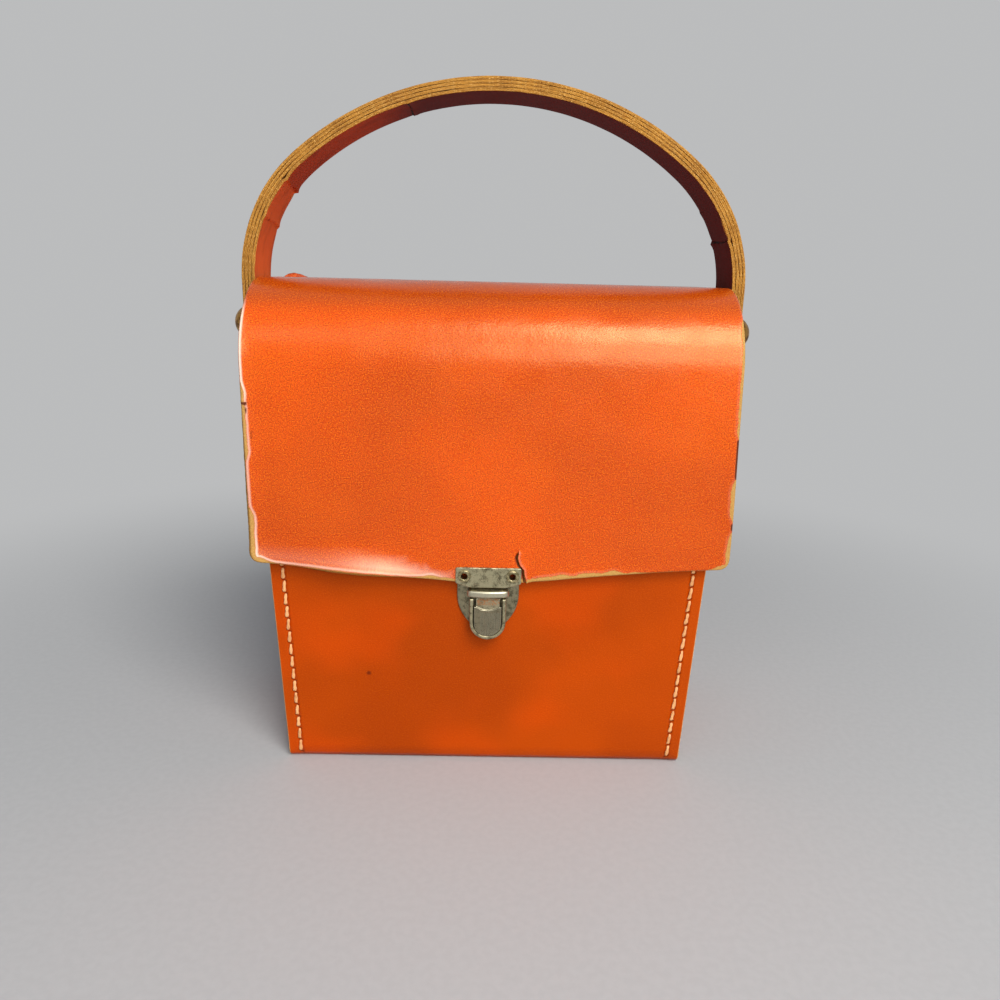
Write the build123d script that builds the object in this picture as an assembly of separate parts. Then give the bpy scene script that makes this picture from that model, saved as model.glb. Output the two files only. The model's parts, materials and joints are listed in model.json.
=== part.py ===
from build123d import *
import os
from math import acos, asin, cos, degrees, radians, sin

# Travel bar case: a boxy leather case with a fold-over lid, a laminated strap handle and a
# tuck clasp. Millimetres. +Z is up, the flap faces -Y, and left is -X. The origin is the
# middle of the base, on the floor.

# Case body
CASE_DEPTH = 92.0        # outside of the front panel to outside of the back panel
LID_TOP = 210.0          # height of the lid's top face
FRONT_HALF = 100.0       # half the width across the front, at the height of the lid's top
BASE_HALF = 88.0         # half the width across the front, at the floor
REAR_SKEW = 1.2          # each side closes in by this much from front to back
LEATHER = 3.2            # the long strip that makes the front, base, back, lid and flap
BASE_FOLD_R = 3.6        # outside radius where the strip turns under the case
FRONT_RIM = 181.0        # top edge of the front panel, under the lid's front fold
GUSSET = 2.4             # side gusset, and the boards that lie level with its turned edges
GUSSET_RECESS = 1.0      # gusset sits in from the strip's raw edge
FLANGE = 12.0            # width of the gusset's turned edge
LINING = 0.8
RIM_CLEARANCE = 0.8      # rim of the gussets to the underside of the lid
FIT = 0.05               # radial play of a pin or rivet in its hole
CORNER_MIN = 0.8         # smallest inside corner of the lining

# Lid and flap
FRONT_FOLD_R = 33.0      # outside radius of the soft fold at the lid's front
HINGE_FOLD_R = 12.0      # outside radius of the leather fold that is the hinge
FLAP_GAP = 1.2           # front panel to the back of the flap
FLAP_SIDE_Z = 95.0       # lower edge of the flap at its corners
FLAP_CLASP_Z = 87.2      # where it meets the sides of the clasp's plate
FLAP_POINT_Z = 85.7      # lower edge of the flap behind the clasp
FLAP_CORNER_R = 6.0
LID_LINING = 0.6
LID_LINING_MARGIN = 4.0

# Divider boards
DIVIDER = 2.6
DIVIDER_X = 27.6
DIVIDER_TOP = 150.0
SCOOP_R = 30.0
SCOOP_DEPTH = 12.0

# Seams
SEAM_INSET = 5.5
STITCH_PITCH = 5.85
STITCH_LENGTH = 5.2
STITCH_R = 0.6
SEAM_END = 3.5           # last stitch to the panel's free edge

# Strap handle
STRAP_Y = 1.0            # middle of the strap, front to back
STRAP_WIDTH = 28.0
PLIES = 4
PLY = 1.4
ARCH_RISE = 81.0         # outer top of the handle above the lid
CROWN_TURN = 40.0        # turn of the crown's arc, to each side
SHOULDER_R = 67.0
LEG_LEAN = 0.0           # legs spread downwards by this angle
BEND_R = 22.0            # where the strap turns in, beside the flap
LEG_GAP = 3.0            # side of the lid to the strap's legs
TUCK_R = 16.0            # where it straightens against the gusset
PIVOT_RUN = 11.3         # straight part of the strap above its pivot
PIVOT_DROP = 53.0        # pivot below the lid's top
SPACER_GAP = 2.05        # gusset to the strap, at the pivot
RIVET_R = 2.5
RIVET_HEAD_R = 6.3
RIVET_HEAD_H = 3.0
RIVET_END = 0.6          # peened end of the shank past its washer
SPACER_R = 6.5
BURR_R = 5.5
BURR = 1.0
STRAP_PLAY = 0.25        # side play of the strap between spacer and rivet head
STUD_DROP = 19.8         # domed stud through the plies, below the lid's top
STUD_R = 7.6
STUD_RISE = 7.6
STUD_SHANK_R = 1.8
STUD_FOOT_R = 3.6
STUD_FOOT = 0.7

# Clasp, from the floor up and from the front panel outwards
CLASP_SHEET = 0.8
CATCH_HALF = 13.2
CATCH_TOP = 86.0
CATCH_SIDE_R = 18.2      # its sides close in to a point below CATCH_SIDE_Z
CATCH_SIDE_Z = 80.5
CATCH_NOSE_R = 4.0
PRONG_X = 10.6
PRONG_HALF = 1.3
PRONG_Z = 78.0
PRONG_END = 0.4          # end of a tab past its backing plate
CATCH_BACK_HALF = 13.5
CATCH_BACK_LOW = 72.0
CATCH_BACK_HIGH = 84.0
BRIDGE_LOW = 80.7
BRIDGE_HIGH = 83.8
BRIDGE_HALF = 8.95
BRIDGE_BAR = 1.3
BRIDGE_CORNER_R = 1.4
BRIDGE_EDGE_R = 0.9      # rounds the bar's upper and lower edges
BRIDGE_STAND = 5.3       # front panel to the back of the bridge bar, at its middle
BRIDGE_BOW = 1.2         # the bar's middle stands out from its ends
HASP_HALF = 13.9
HASP_TOP = 94.0
HASP_SIDE_LOW = 87.0
HASP_LOW = 85.2
HASP_NECK_HALF = 8.2     # where the ears' lower edges reach the tongue
HASP_CORNER_R = 0.8
METAL_EDGE_R = 0.3       # rounded front edges of the sheet metal
TONGUE_HALF = 7.35
TONGUE_LAP = 1.0         # tongue over the frame's floor
TONGUE_STAND = 2.7       # front panel to the back of the tongue
FRAME_HALF = 7.7
FRAME_TOP = 80.2
FRAME_LOW = 61.8
FRAME_RIM = 1.6
FRAME_RIM_H = 2.5
FRAME_EDGE_R = 0.5
WINDOW_LOW = 68.4
EYELET_X = 10.2
EYELET_Z = 90.2
EYELET_HEAD_R = 2.75
EYELET_BARREL_R = 1.8
EYELET_HOLE_R = 1.35
EYELET_HEAD_H = 0.6
EYELET_EDGE_R = 0.4
HASP_BACK = 0.4
HASP_BACK_HALF = 12.9
HASP_BACK_LOW = 87.6

# Push button
BUTTON_GAP = 0.35
BUTTON_TOP = 76.9
BUTTON_DIP = 1.5         # the top edge dips in its middle
BUTTON_BEAD = 0.7        # thickness of the top edge, in front of the ramp
BUTTON_BACK = 4.2        # front panel to the back of the button
BUTTON_THICK = 2.4
BUTTON_LIP = 0.8         # thin upper end of the ramp, which catches under the bridge
BUTTON_LIP_HALF = 5.0
BUTTON_LIP_TOP = 80.2
RIB_COUNT = 11
RIB_FROM = -2.8          # first groove, from the button's middle
RIB_GROOVE = 0.3
RIB_DEPTH = 0.25
RIB_MARGIN = 0.9
PIN_Z = 66.2
PIN_R = 0.6
PIN_Y_STAND = 5.0        # front panel to the pin's axis
SPRING = 0.25
SPRING_HALF = 2.5
SPRING_TOP = 75.0
SPRING_CLEARANCE = 0.05
SPRING_FOOT_GAP = 1.0    # leaf's foot to the frame's rim

# Faces and lines that the pieces share
FRONT = -CASE_DEPTH / 2
BACK = CASE_DEPTH / 2
TAPER = (FRONT_HALF - BASE_HALF) / LID_TOP
SKEW = REAR_SKEW / CASE_DEPTH
STACK = LEATHER + GUSSET + LINING
INSIDE_FRONT = FRONT + STACK
FLAP_BACK = FRONT - FLAP_GAP
FLAP_FACE = FLAP_BACK - LEATHER
FOLD_Z = LID_TOP - HINGE_FOLD_R
FOLD_Y = BACK - HINGE_FOLD_R
LID_UNDER = LID_TOP - LEATHER
RIM = LID_UNDER - LID_LINING - RIM_CLEARANCE
PIVOT_Z = LID_TOP - PIVOT_DROP
STUD_Z = LID_TOP - STUD_DROP
STRAP = PLIES * PLY
REACH = 2 * LID_TOP


def block(x, y, z):
    """Box from three (low, high) pairs."""
    sizes = [high - low for low, high in (x, y, z)]
    middle = [(high + low) / 2 for low, high in (x, y, z)]
    return Pos(*middle) * Box(*sizes)


def rod_x(radius, x, y, z):
    """Round bar along X, from a (low, high) pair."""
    return Pos((x[0] + x[1]) / 2, y, z) * Rot(0, 90, 0) * Cylinder(radius, x[1] - x[0])


def rod_y(radius, x, y, z):
    """Round bar along Y, from a (low, high) pair."""
    return Pos(x, (y[0] + y[1]) / 2, z) * Rot(90, 0, 0) * Cylinder(radius, y[1] - y[0])


def mirrored(shape):
    """The same shape on the other side of the case."""
    return mirror(shape, about=Plane.YZ)


def side_x(y, z, inset=0.0):
    """Distance from the middle of the case to the strip's raw edge."""
    return BASE_HALF + TAPER * z - SKEW * (y - FRONT) - inset


def between_sides(inset, taper=TAPER, foot=BASE_HALF):
    """Everything between the two leaning sides, moved in by an inset."""
    outward = Vector(1, SKEW, -taper)
    face = Plane(origin=(foot - inset, FRONT, 0), z_dir=outward)
    cutter = face * Box(3 * REACH, 3 * REACH, REACH, align=(Align.CENTER, Align.CENTER, Align.MIN))
    return Box(2 * REACH, 2 * REACH, 3 * REACH) - cutter - mirrored(cutter)


def case_block(inset, top):
    """The case's upright section, moved in by an inset, with its lower folds rounded."""
    body = block((-REACH, REACH), (FRONT + inset, BACK - inset), (inset, top))
    corner = max(BASE_FOLD_R - inset, CORNER_MIN)
    folds = body.edges().filter_by(Axis.X).group_by(Axis.Z)[0]
    return fillet(folds, corner)


def tray(outer, inner, front_top, back_top):
    """Front, base and back in one bent sheet, between two insets."""
    sheet = case_block(outer, back_top) - case_block(inner, back_top + REACH)
    above_front = block((-REACH, REACH), (-REACH, 0), (front_top, REACH))
    return sheet - above_front


def walk(start, heading, steps, inset):
    """Edges of a path of lines and arcs, moved to its right-hand side by an inset."""
    side = radians(heading - 90)
    here = Vector(*start) + Vector(cos(side), sin(side)) * inset
    edges = []
    for step in steps:
        along = Vector(cos(radians(heading)), sin(radians(heading)))
        if len(step) == 1:
            edge = Line(here, here + along * step[0])
        else:
            radius, turn = step
            edge = JernArc(here, along, radius + inset if turn > 0 else radius - inset, turn)
            heading += turn
        edges.append(edge)
        here = edge @ 1
    return edges


def strip(start, heading, steps, near, far):
    """Flat outline between two insets of one path."""
    outer = walk(start, heading, steps, near)
    inner = walk(start, heading, steps, far)
    caps = [Line(outer[0] @ 0, inner[0] @ 0), Line(outer[-1] @ 1, inner[-1] @ 1)]
    return make_face(Curve() + outer + inner + caps)


def across(face, half):
    """Extrude an outline drawn in YZ across the case, to each side."""
    return extrude(Plane.YZ * face, half, both=True)


def plate(face, y):
    """Extrude an outline drawn in XZ between two depths."""
    low, high = y
    return Pos(0, high, 0) * extrude(Plane.XZ * face, high - low)


def body_wrap():
    shell = tray(0, LEATHER, FRONT_RIM, FOLD_Z) & between_sides(0)
    return shell - prongs(FIT)


def rim_block():
    """What lies under the lid, with the lid's clearance taken off."""
    clear = LID_TOP - RIM
    front_r = FRONT_FOLD_R - clear
    rear_r = HINGE_FOLD_R - clear
    front_y = FLAP_FACE + FRONT_FOLD_R
    low = (front_y - front_r, -REACH)
    steps = [
        (LID_TOP - FRONT_FOLD_R + REACH,),
        (front_r, -90),
        (FOLD_Y - front_y,),
        (rear_r, -90),
    ]
    path = walk(low, 90, steps, 0)
    tail = Polyline(path[-1] @ 1, (BACK, FOLD_Z), (BACK, -REACH), low)
    return across(make_face(Curve() + path + [tail]), REACH)


def gusset():
    """Right-hand side panel with its turned edges."""
    band = between_sides(GUSSET_RECESS) - between_sides(GUSSET_RECESS + FLANGE)
    pan = case_block(LEATHER, REACH) & band & rim_block()
    hollow = case_block(LEATHER + GUSSET, 2 * REACH) & between_sides(GUSSET_RECESS + GUSSET)
    right = block((0, REACH), (-REACH, REACH), (-REACH, REACH))
    return (pan & right) - hollow - rivet_shank(FIT)


def gusset_lining():
    inset = GUSSET_RECESS + GUSSET
    sheet = between_sides(inset) - between_sides(inset + LINING)
    inside = case_block(STACK, REACH) & rim_block()
    right = block((0, REACH), (-REACH, REACH), (-REACH, RIM - LINING))
    return sheet & inside & right - rivet_shank(FIT)


def wrap_lining():
    sheet = tray(STACK - LINING, STACK, FRONT_RIM, FOLD_Z)
    return (sheet & between_sides(GUSSET_RECESS + GUSSET)) - prongs(FIT)


def board(y, z):
    """Stiffening board between the gussets' turned edges."""
    return block((-REACH, REACH), y, z) & between_sides(GUSSET_RECESS + FLANGE)


def front_board():
    y = (FRONT + LEATHER, FRONT + LEATHER + GUSSET)
    return board(y, (max(BASE_FOLD_R, STACK), FRONT_RIM)) - prongs(FIT)


def back_board():
    y = (BACK - LEATHER - GUSSET, BACK - LEATHER)
    return board(y, (max(BASE_FOLD_R, STACK), FOLD_Z))


def base_board():
    half = CASE_DEPTH / 2 - max(BASE_FOLD_R, STACK)
    return board((-half, half), (LEATHER, LEATHER + GUSSET))


def divider():
    """Right-hand divider board, with a finger scoop in its top edge."""
    x = (DIVIDER_X - DIVIDER / 2, DIVIDER_X + DIVIDER / 2)
    sheet = block(x, (FRONT, BACK), (0, DIVIDER_TOP)) & case_block(STACK, REACH)
    scoop = rod_x(SCOOP_R, (0, REACH), 0, DIVIDER_TOP + SCOOP_R - SCOOP_DEPTH)
    return sheet - scoop


def stitches(face_y, outward, top, side):
    """Row of stitches that lie on a panel, each a half-round bar."""
    lean = degrees(TAPER)
    bar = Pos(0, 0, -STITCH_LENGTH / 2) * extrude(Circle(STITCH_R), STITCH_LENGTH)
    reach = (-STITCH_LENGTH, STITCH_LENGTH)
    half = bar & block(reach, sorted((0, outward * STITCH_LENGTH)), reach)
    first = BASE_FOLD_R + STITCH_LENGTH / 2
    count = 1 + int((top - SEAM_END - STITCH_LENGTH / 2 - first) / STITCH_PITCH)
    row = []
    for number in range(count):
        z = first + number * STITCH_PITCH
        x = side * side_x(face_y, z, SEAM_INSET)
        row.append(Pos(x, face_y, z) * Rot(0, side * lean, 0) * half)
    return Compound(children=row)


def lid_path():
    """The lid's outside from the flap's point, up and over to the hinge fold."""
    start = (FLAP_FACE, FLAP_POINT_Z)
    return start, 90, [
        (LID_TOP - FRONT_FOLD_R - FLAP_POINT_Z,),
        (FRONT_FOLD_R, -90),
        (FOLD_Y - FLAP_FACE - FRONT_FOLD_R,),
    ]


def below_flap_edge():
    """What is cut away under the flap's shallow point and round its corners."""
    half = side_x(FLAP_FACE, LID_TOP)
    edge = Polyline(
        (-half, LID_TOP),
        (-half, FLAP_SIDE_Z),
        (-HASP_HALF, FLAP_CLASP_Z),
        (-HASP_NECK_HALF, FLAP_POINT_Z),
        (HASP_NECK_HALF, FLAP_POINT_Z),
        (HASP_HALF, FLAP_CLASP_Z),
        (half, FLAP_SIDE_Z),
        (half, LID_TOP),
        (-half, LID_TOP),
    )
    kept = make_face(edge)
    corners = kept.vertices().filter_by_position(Axis.Y, FLAP_SIDE_Z - FIT, FLAP_SIDE_Z + FIT)
    kept = fillet(corners, FLAP_CORNER_R)
    around = Pos(0, FLAP_SIDE_Z) * Rectangle(2 * REACH, 2 * (LID_TOP - FRONT_FOLD_R - FLAP_SIDE_Z))
    return plate(around - kept, (FLAP_FACE - LEATHER, FRONT))


def lid_leather():
    start, heading, steps = lid_path()
    sheet = across(strip(start, heading, steps, 0, LEATHER), REACH)
    sheet = sheet & between_sides(0, taper=0, foot=FRONT_HALF)
    return sheet - below_flap_edge() - eyelet_holes()


def lid_lining():
    """Thin lining under the flat of the lid."""
    y = (FLAP_FACE + FRONT_FOLD_R, FOLD_Y)
    sheet = block((-REACH, REACH), y, (LID_UNDER - LID_LINING, LID_UNDER))
    return sheet & between_sides(LID_LINING_MARGIN, taper=0, foot=FRONT_HALF)


def hinge_fold():
    """The bend of the strip between the back panel and the lid."""
    face = strip((FOLD_Y, LID_TOP), 0, [(HINGE_FOLD_R, -90)], 0, LEATHER)
    return across(face, REACH) & between_sides(0, taper=0, foot=FRONT_HALF)


def strap_seat():
    """Inner face of the strap's ends, from the middle of the case."""
    return side_x(STRAP_Y, PIVOT_Z, GUSSET_RECESS) + SPACER_GAP


def strap_steps():
    """Right half of the handle's outer face, from its crown down to its end.

    The crown's radius and the legs' straight length follow from the handle's rise and from
    how far it stands out past the lid and the gusset.
    """
    crown = radians(CROWN_TURN)
    leg = radians(90 - LEG_LEAN)
    offset = leg_x() - strap_seat()
    tuck = acos(1 - offset / (BEND_R + TUCK_R))
    reach = strap_seat() + offset + STRAP
    reach -= SHOULDER_R * (sin(leg) - sin(crown)) + BEND_R * (1 - sin(leg))
    fall = PIVOT_DROP + ARCH_RISE - PIVOT_RUN - SHOULDER_R * (cos(crown) - cos(leg))
    fall -= BEND_R * cos(leg) + (BEND_R + TUCK_R) * sin(tuck)
    scale = sin(crown) * sin(leg) - (1 - cos(crown)) * cos(leg)
    crown_r = (reach * sin(leg) - fall * cos(leg)) / scale
    leg_run = (fall * sin(crown) - reach * (1 - cos(crown))) / scale
    return [
        (crown_r, -CROWN_TURN),
        (SHOULDER_R, CROWN_TURN + LEG_LEAN - 90),
        (leg_run,),
        (BEND_R, -LEG_LEAN - degrees(tuck)),
        (TUCK_R, degrees(tuck)),
        (PIVOT_RUN + STRAP_WIDTH / 2,),
    ]


def handle_ply(number):
    """One layer of the strap, counted from the outside."""
    face = strip((0, LID_TOP + ARCH_RISE), 0, strap_steps(), number * PLY, (number + 1) * PLY)
    half = Pos(0, STRAP_Y, 0) * extrude(Plane.XZ * face, STRAP_WIDTH / 2, both=True)
    outside = (0, REACH)
    end = block(outside, (-REACH, REACH), (0, PIVOT_Z))
    end -= rod_x(STRAP_WIDTH / 2, outside, STRAP_Y, PIVOT_Z)
    half = half - end - rivet_shank(FIT) - stud_shank(FIT)
    return half + mirrored(half)


def rivet_shank(play=0.0):
    inner = side_x(STRAP_Y, PIVOT_Z, GUSSET_RECESS + GUSSET + LINING)
    low = inner - BURR - RIVET_END
    high = strap_seat() + STRAP + STRAP_PLAY
    return rod_x(RIVET_R + play, (low, high), STRAP_Y, PIVOT_Z)


def domed_head(radius, rise):
    """Dome on the plane X = 0, with its top towards +X, at most half a ball."""
    sphere = (radius ** 2 + rise ** 2) / (2 * rise)
    spread = degrees(asin(radius / sphere))
    dome = CenterArc((rise - sphere, 0), sphere, 0, spread)
    back = Polyline(dome @ 1, (0, 0), dome @ 0)
    return revolve(make_face([dome, back]), Axis.X)


def handle_rivet():
    """Right-hand rivet that the strap swings on, with a low domed head."""
    seat = Pos(strap_seat() + STRAP + STRAP_PLAY, STRAP_Y, PIVOT_Z)
    return rivet_shank() + seat * domed_head(RIVET_HEAD_R, RIVET_HEAD_H)


def leg_x():
    """Inner face of the strap's straight legs."""
    return side_x(STRAP_Y, LID_TOP) + LEG_GAP


def stud_shank(play=0.0):
    return rod_x(STUD_SHANK_R + play, (leg_x(), leg_x() + STRAP), STRAP_Y, STUD_Z)


def handle_stud():
    """Right-hand domed stud that holds the plies together, with its foot inside the strap."""
    dome = Pos(leg_x() + STRAP, STRAP_Y, STUD_Z) * domed_head(STUD_R, STUD_RISE)
    foot = rod_x(STUD_FOOT_R, (leg_x() - STUD_FOOT, leg_x()), STRAP_Y, STUD_Z)
    return dome + stud_shank() + foot


def handle_spacer():
    """Washer between the gusset and the strap, cut to the gusset's lean."""
    ring = rod_x(SPACER_R, (0, strap_seat() - STRAP_PLAY), STRAP_Y, PIVOT_Z)
    ring -= between_sides(GUSSET_RECESS)
    return ring - rivet_shank(FIT)


def handle_burr():
    """Washer inside the case that the rivet is closed over."""
    inset = GUSSET_RECESS + GUSSET + LINING
    ring = rod_x(BURR_R, (0, REACH), STRAP_Y, PIVOT_Z)
    ring = ring & (between_sides(inset) - between_sides(inset + BURR))
    ring = ring & block((0, REACH), (-REACH, REACH), (0, REACH))
    return ring - rivet_shank(FIT)


def prongs(play=0.0):
    """Two tabs of the catch plate that pass through the front panel."""
    half = PRONG_HALF + play
    y = (FRONT, INSIDE_FRONT + CLASP_SHEET + PRONG_END)
    x = (PRONG_X - CLASP_SHEET / 2 - play, PRONG_X + CLASP_SHEET / 2 + play)
    prong = block(x, y, (PRONG_Z - half, PRONG_Z + half))
    return prong + mirrored(prong)


def below(z):
    """Everything below a height, drawn in XZ."""
    return Pos(0, z - REACH / 2) * Rectangle(REACH, REACH)


def front_edges(sheet, radius):
    """The sheet with the edges of its front face rounded."""
    return fillet(sheet.edges().group_by(Axis.Y)[0], radius)


def catch_outline():
    """Shield with straight sides that close in to a rounded point."""
    shift = CATCH_SIDE_R - CATCH_HALF
    side = Circle(CATCH_SIDE_R)
    point = (Pos(shift, CATCH_SIDE_Z) * side) & (Pos(-shift, CATCH_SIDE_Z) * side)
    point &= below(CATCH_SIDE_Z)
    point = fillet(point.vertices().sort_by(Axis.Y)[0], CATCH_NOSE_R)
    height = CATCH_TOP - CATCH_SIDE_Z
    return point + Pos(0, CATCH_TOP - height / 2) * Rectangle(2 * CATCH_HALF, height)


def bridge_outline(inset):
    """Bowed arch, drawn in XY as it stands on the front panel."""
    half = BRIDGE_HALF - inset
    crown = FRONT - BRIDGE_STAND - BRIDGE_BAR + inset
    bow = ThreePointArc((-half, crown + BRIDGE_BOW), (0, crown), (half, crown + BRIDGE_BOW))
    foot = Polyline(bow @ 1, (half, FRONT), (-half, FRONT), bow @ 0)
    arch = make_face([bow, foot])
    corners = arch.vertices().group_by(Axis.Y)[0]
    return fillet(corners, BRIDGE_CORNER_R - inset + CORNER_MIN)


def bridge():
    """Bar pressed out of the catch plate, which the tongue tucks under."""
    height = BRIDGE_HIGH - BRIDGE_LOW
    bar = extrude(bridge_outline(0), height)
    rims = bar.edges().group_by(Axis.Z)
    fronts = [edge for edge in rims[0] + rims[-1] if edge.center().Y < FRONT - CLASP_SHEET]
    bar = fillet(fronts, BRIDGE_EDGE_R)
    return Pos(0, 0, BRIDGE_LOW) * (bar - extrude(bridge_outline(BRIDGE_BAR), height))


def catch_plate():
    """Plate on the front panel, with the bridge that the tongue tucks under."""
    sheet = plate(catch_outline(), (FRONT - CLASP_SHEET, FRONT))
    return front_edges(sheet, METAL_EDGE_R) + bridge() + prongs()


def catch_backing_plate():
    y = (INSIDE_FRONT, INSIDE_FRONT + CLASP_SHEET)
    x = (-CATCH_BACK_HALF, CATCH_BACK_HALF)
    return block(x, y, (CATCH_BACK_LOW, CATCH_BACK_HIGH)) - prongs(FIT)


def eyelet_holes():
    y = (FLAP_FACE - REACH, FRONT)
    hole = rod_y(EYELET_BARREL_R + FIT, EYELET_X, y, EYELET_Z)
    return hole + mirrored(hole)


def frame_outline(inset):
    """U shape of the clasp's frame, open at its top."""
    half = FRAME_HALF - inset
    centre = FRAME_LOW + FRAME_HALF
    sides = Pos(0, (centre + FRAME_TOP) / 2) * Rectangle(2 * half, FRAME_TOP - centre)
    return sides + Pos(0, centre) * Circle(half)


def hasp_plate():
    """Plate on the flap whose tongue carries the button's frame."""
    outline = Polyline(
        (-HASP_HALF, HASP_TOP),
        (HASP_HALF, HASP_TOP),
        (HASP_HALF, HASP_SIDE_LOW),
        (HASP_NECK_HALF, HASP_LOW),
        (-HASP_NECK_HALF, HASP_LOW),
        (-HASP_HALF, HASP_SIDE_LOW),
        close=True,
    )
    face = make_face(outline)
    face = fillet(face.vertices(), HASP_CORNER_R)
    top = front_edges(plate(face, (FLAP_FACE - CLASP_SHEET, FLAP_FACE)), METAL_EDGE_R)
    back = FRONT - TONGUE_STAND
    joggle = Polyline(
        (FLAP_FACE, FLAP_POINT_Z),
        (back, BRIDGE_HIGH),
        (back, FRAME_TOP - TONGUE_LAP),
        (back - CLASP_SHEET, FRAME_TOP - TONGUE_LAP),
        (back - CLASP_SHEET, BRIDGE_HIGH),
        (FLAP_FACE - CLASP_SHEET, FLAP_POINT_Z - CLASP_SHEET / 2),
        (FLAP_FACE - CLASP_SHEET, HASP_LOW + CLASP_SHEET),
        (FLAP_FACE, HASP_LOW + CLASP_SHEET),
        close=True,
    )
    tongue = across(make_face(joggle), TONGUE_HALF)
    floor = plate(frame_outline(0), (back - CLASP_SHEET, back))
    rim = plate(frame_outline(0) - frame_outline(FRAME_RIM), (back - CLASP_SHEET - FRAME_RIM_H, back))
    rim = front_edges(rim, FRAME_EDGE_R)
    window = frame_outline(FRAME_RIM) & Pos(0, WINDOW_LOW + REACH / 2) * Rectangle(REACH, REACH)
    floor -= plate(window, (back - CLASP_SHEET, back))
    return top + tongue + floor + rim - eyelet_holes() - pin_bar(FIT) - window_gap()


def window_gap():
    """Opens the tongue above the button, where its lip swings in."""
    back = FRONT - TONGUE_STAND
    half = FRAME_HALF - FRAME_RIM
    return block((-half, half), (back - CLASP_SHEET, back), (FRAME_TOP - TONGUE_LAP, BRIDGE_LOW))


def hasp_eyelets():
    """Two eyelets through the plate, the flap and the washer plate."""
    front = FLAP_FACE - CLASP_SHEET
    back = FLAP_BACK + HASP_BACK
    barrel = rod_y(EYELET_BARREL_R, EYELET_X, (front, back), EYELET_Z)
    heads = rod_y(EYELET_HEAD_R, EYELET_X, (front - EYELET_HEAD_H, front), EYELET_Z)
    heads += rod_y(EYELET_HEAD_R, EYELET_X, (back, back + HASP_BACK), EYELET_Z)
    bore = rod_y(EYELET_HOLE_R, EYELET_X, (front - REACH, back + REACH), EYELET_Z)
    eyelet = front_edges(barrel + heads - bore, EYELET_EDGE_R)
    return Compound(children=[eyelet, mirrored(eyelet)])


def hasp_backing_plate():
    x = (-HASP_BACK_HALF, HASP_BACK_HALF)
    y = (FLAP_BACK, FLAP_BACK + HASP_BACK)
    high = 2 * EYELET_Z - HASP_BACK_LOW
    return block(x, y, (HASP_BACK_LOW, high)) - eyelet_holes()


def pin_bar(play=0.0):
    y = FRONT - PIN_Y_STAND
    half = FRAME_HALF - FRAME_RIM / 2
    return rod_x(PIN_R + play, (-half - play, half + play), y, PIN_Z)


def clasp_button():
    """Ribbed thumb button; its lip catches under the bridge."""
    dip_r = (BUTTON_LIP_HALF ** 2 + BUTTON_DIP ** 2) / (2 * BUTTON_DIP)
    outline = frame_outline(FRAME_RIM + BUTTON_GAP) & below(BUTTON_TOP)
    outline -= Pos(0, BUTTON_TOP + dip_r - BUTTON_DIP) * Circle(dip_r)
    back = FRONT - BUTTON_BACK
    face = back - BUTTON_THICK
    pad = plate(outline, (face, back))
    last = FRAME_HALF - FRAME_RIM - BUTTON_GAP - RIB_MARGIN
    pitch = (last - RIB_FROM) / (RIB_COUNT - 1)
    for number in range(RIB_COUNT):
        x = RIB_FROM + number * pitch
        z = (FRAME_LOW, BUTTON_TOP - BUTTON_DIP - RIB_MARGIN)
        pad -= block((x - RIB_GROOVE / 2, x + RIB_GROOVE / 2), (face, face + RIB_DEPTH), z)
    ramp = Polyline(
        (back, BUTTON_TOP - BUTTON_DIP - BUTTON_LIP),
        (face + BUTTON_BEAD, BUTTON_TOP - BUTTON_DIP - BUTTON_LIP),
        (back - BUTTON_LIP, BUTTON_LIP_TOP - BUTTON_LIP),
        (back - BUTTON_LIP, BUTTON_LIP_TOP),
        (back, BUTTON_LIP_TOP),
        close=True,
    )
    return pad + across(make_face(ramp), BUTTON_LIP_HALF) - pin_bar(FIT)


def button_spring():
    """Leaf behind the button, bent out from the frame's floor to the button's back."""
    seat = FRONT - TONGUE_STAND - CLASP_SHEET
    touch = FRONT - BUTTON_BACK + SPRING_CLEARANCE
    low = FRAME_LOW + FRAME_RIM + SPRING_FOOT_GAP
    leaf = Polyline(
        (seat, low),
        (seat, WINDOW_LOW),
        (touch + SPRING, SPRING_TOP),
        (touch, SPRING_TOP),
        (seat - SPRING, WINDOW_LOW),
        (seat - SPRING, low),
        close=True,
    )
    return across(make_face(leaf), SPRING_HALF)


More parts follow.
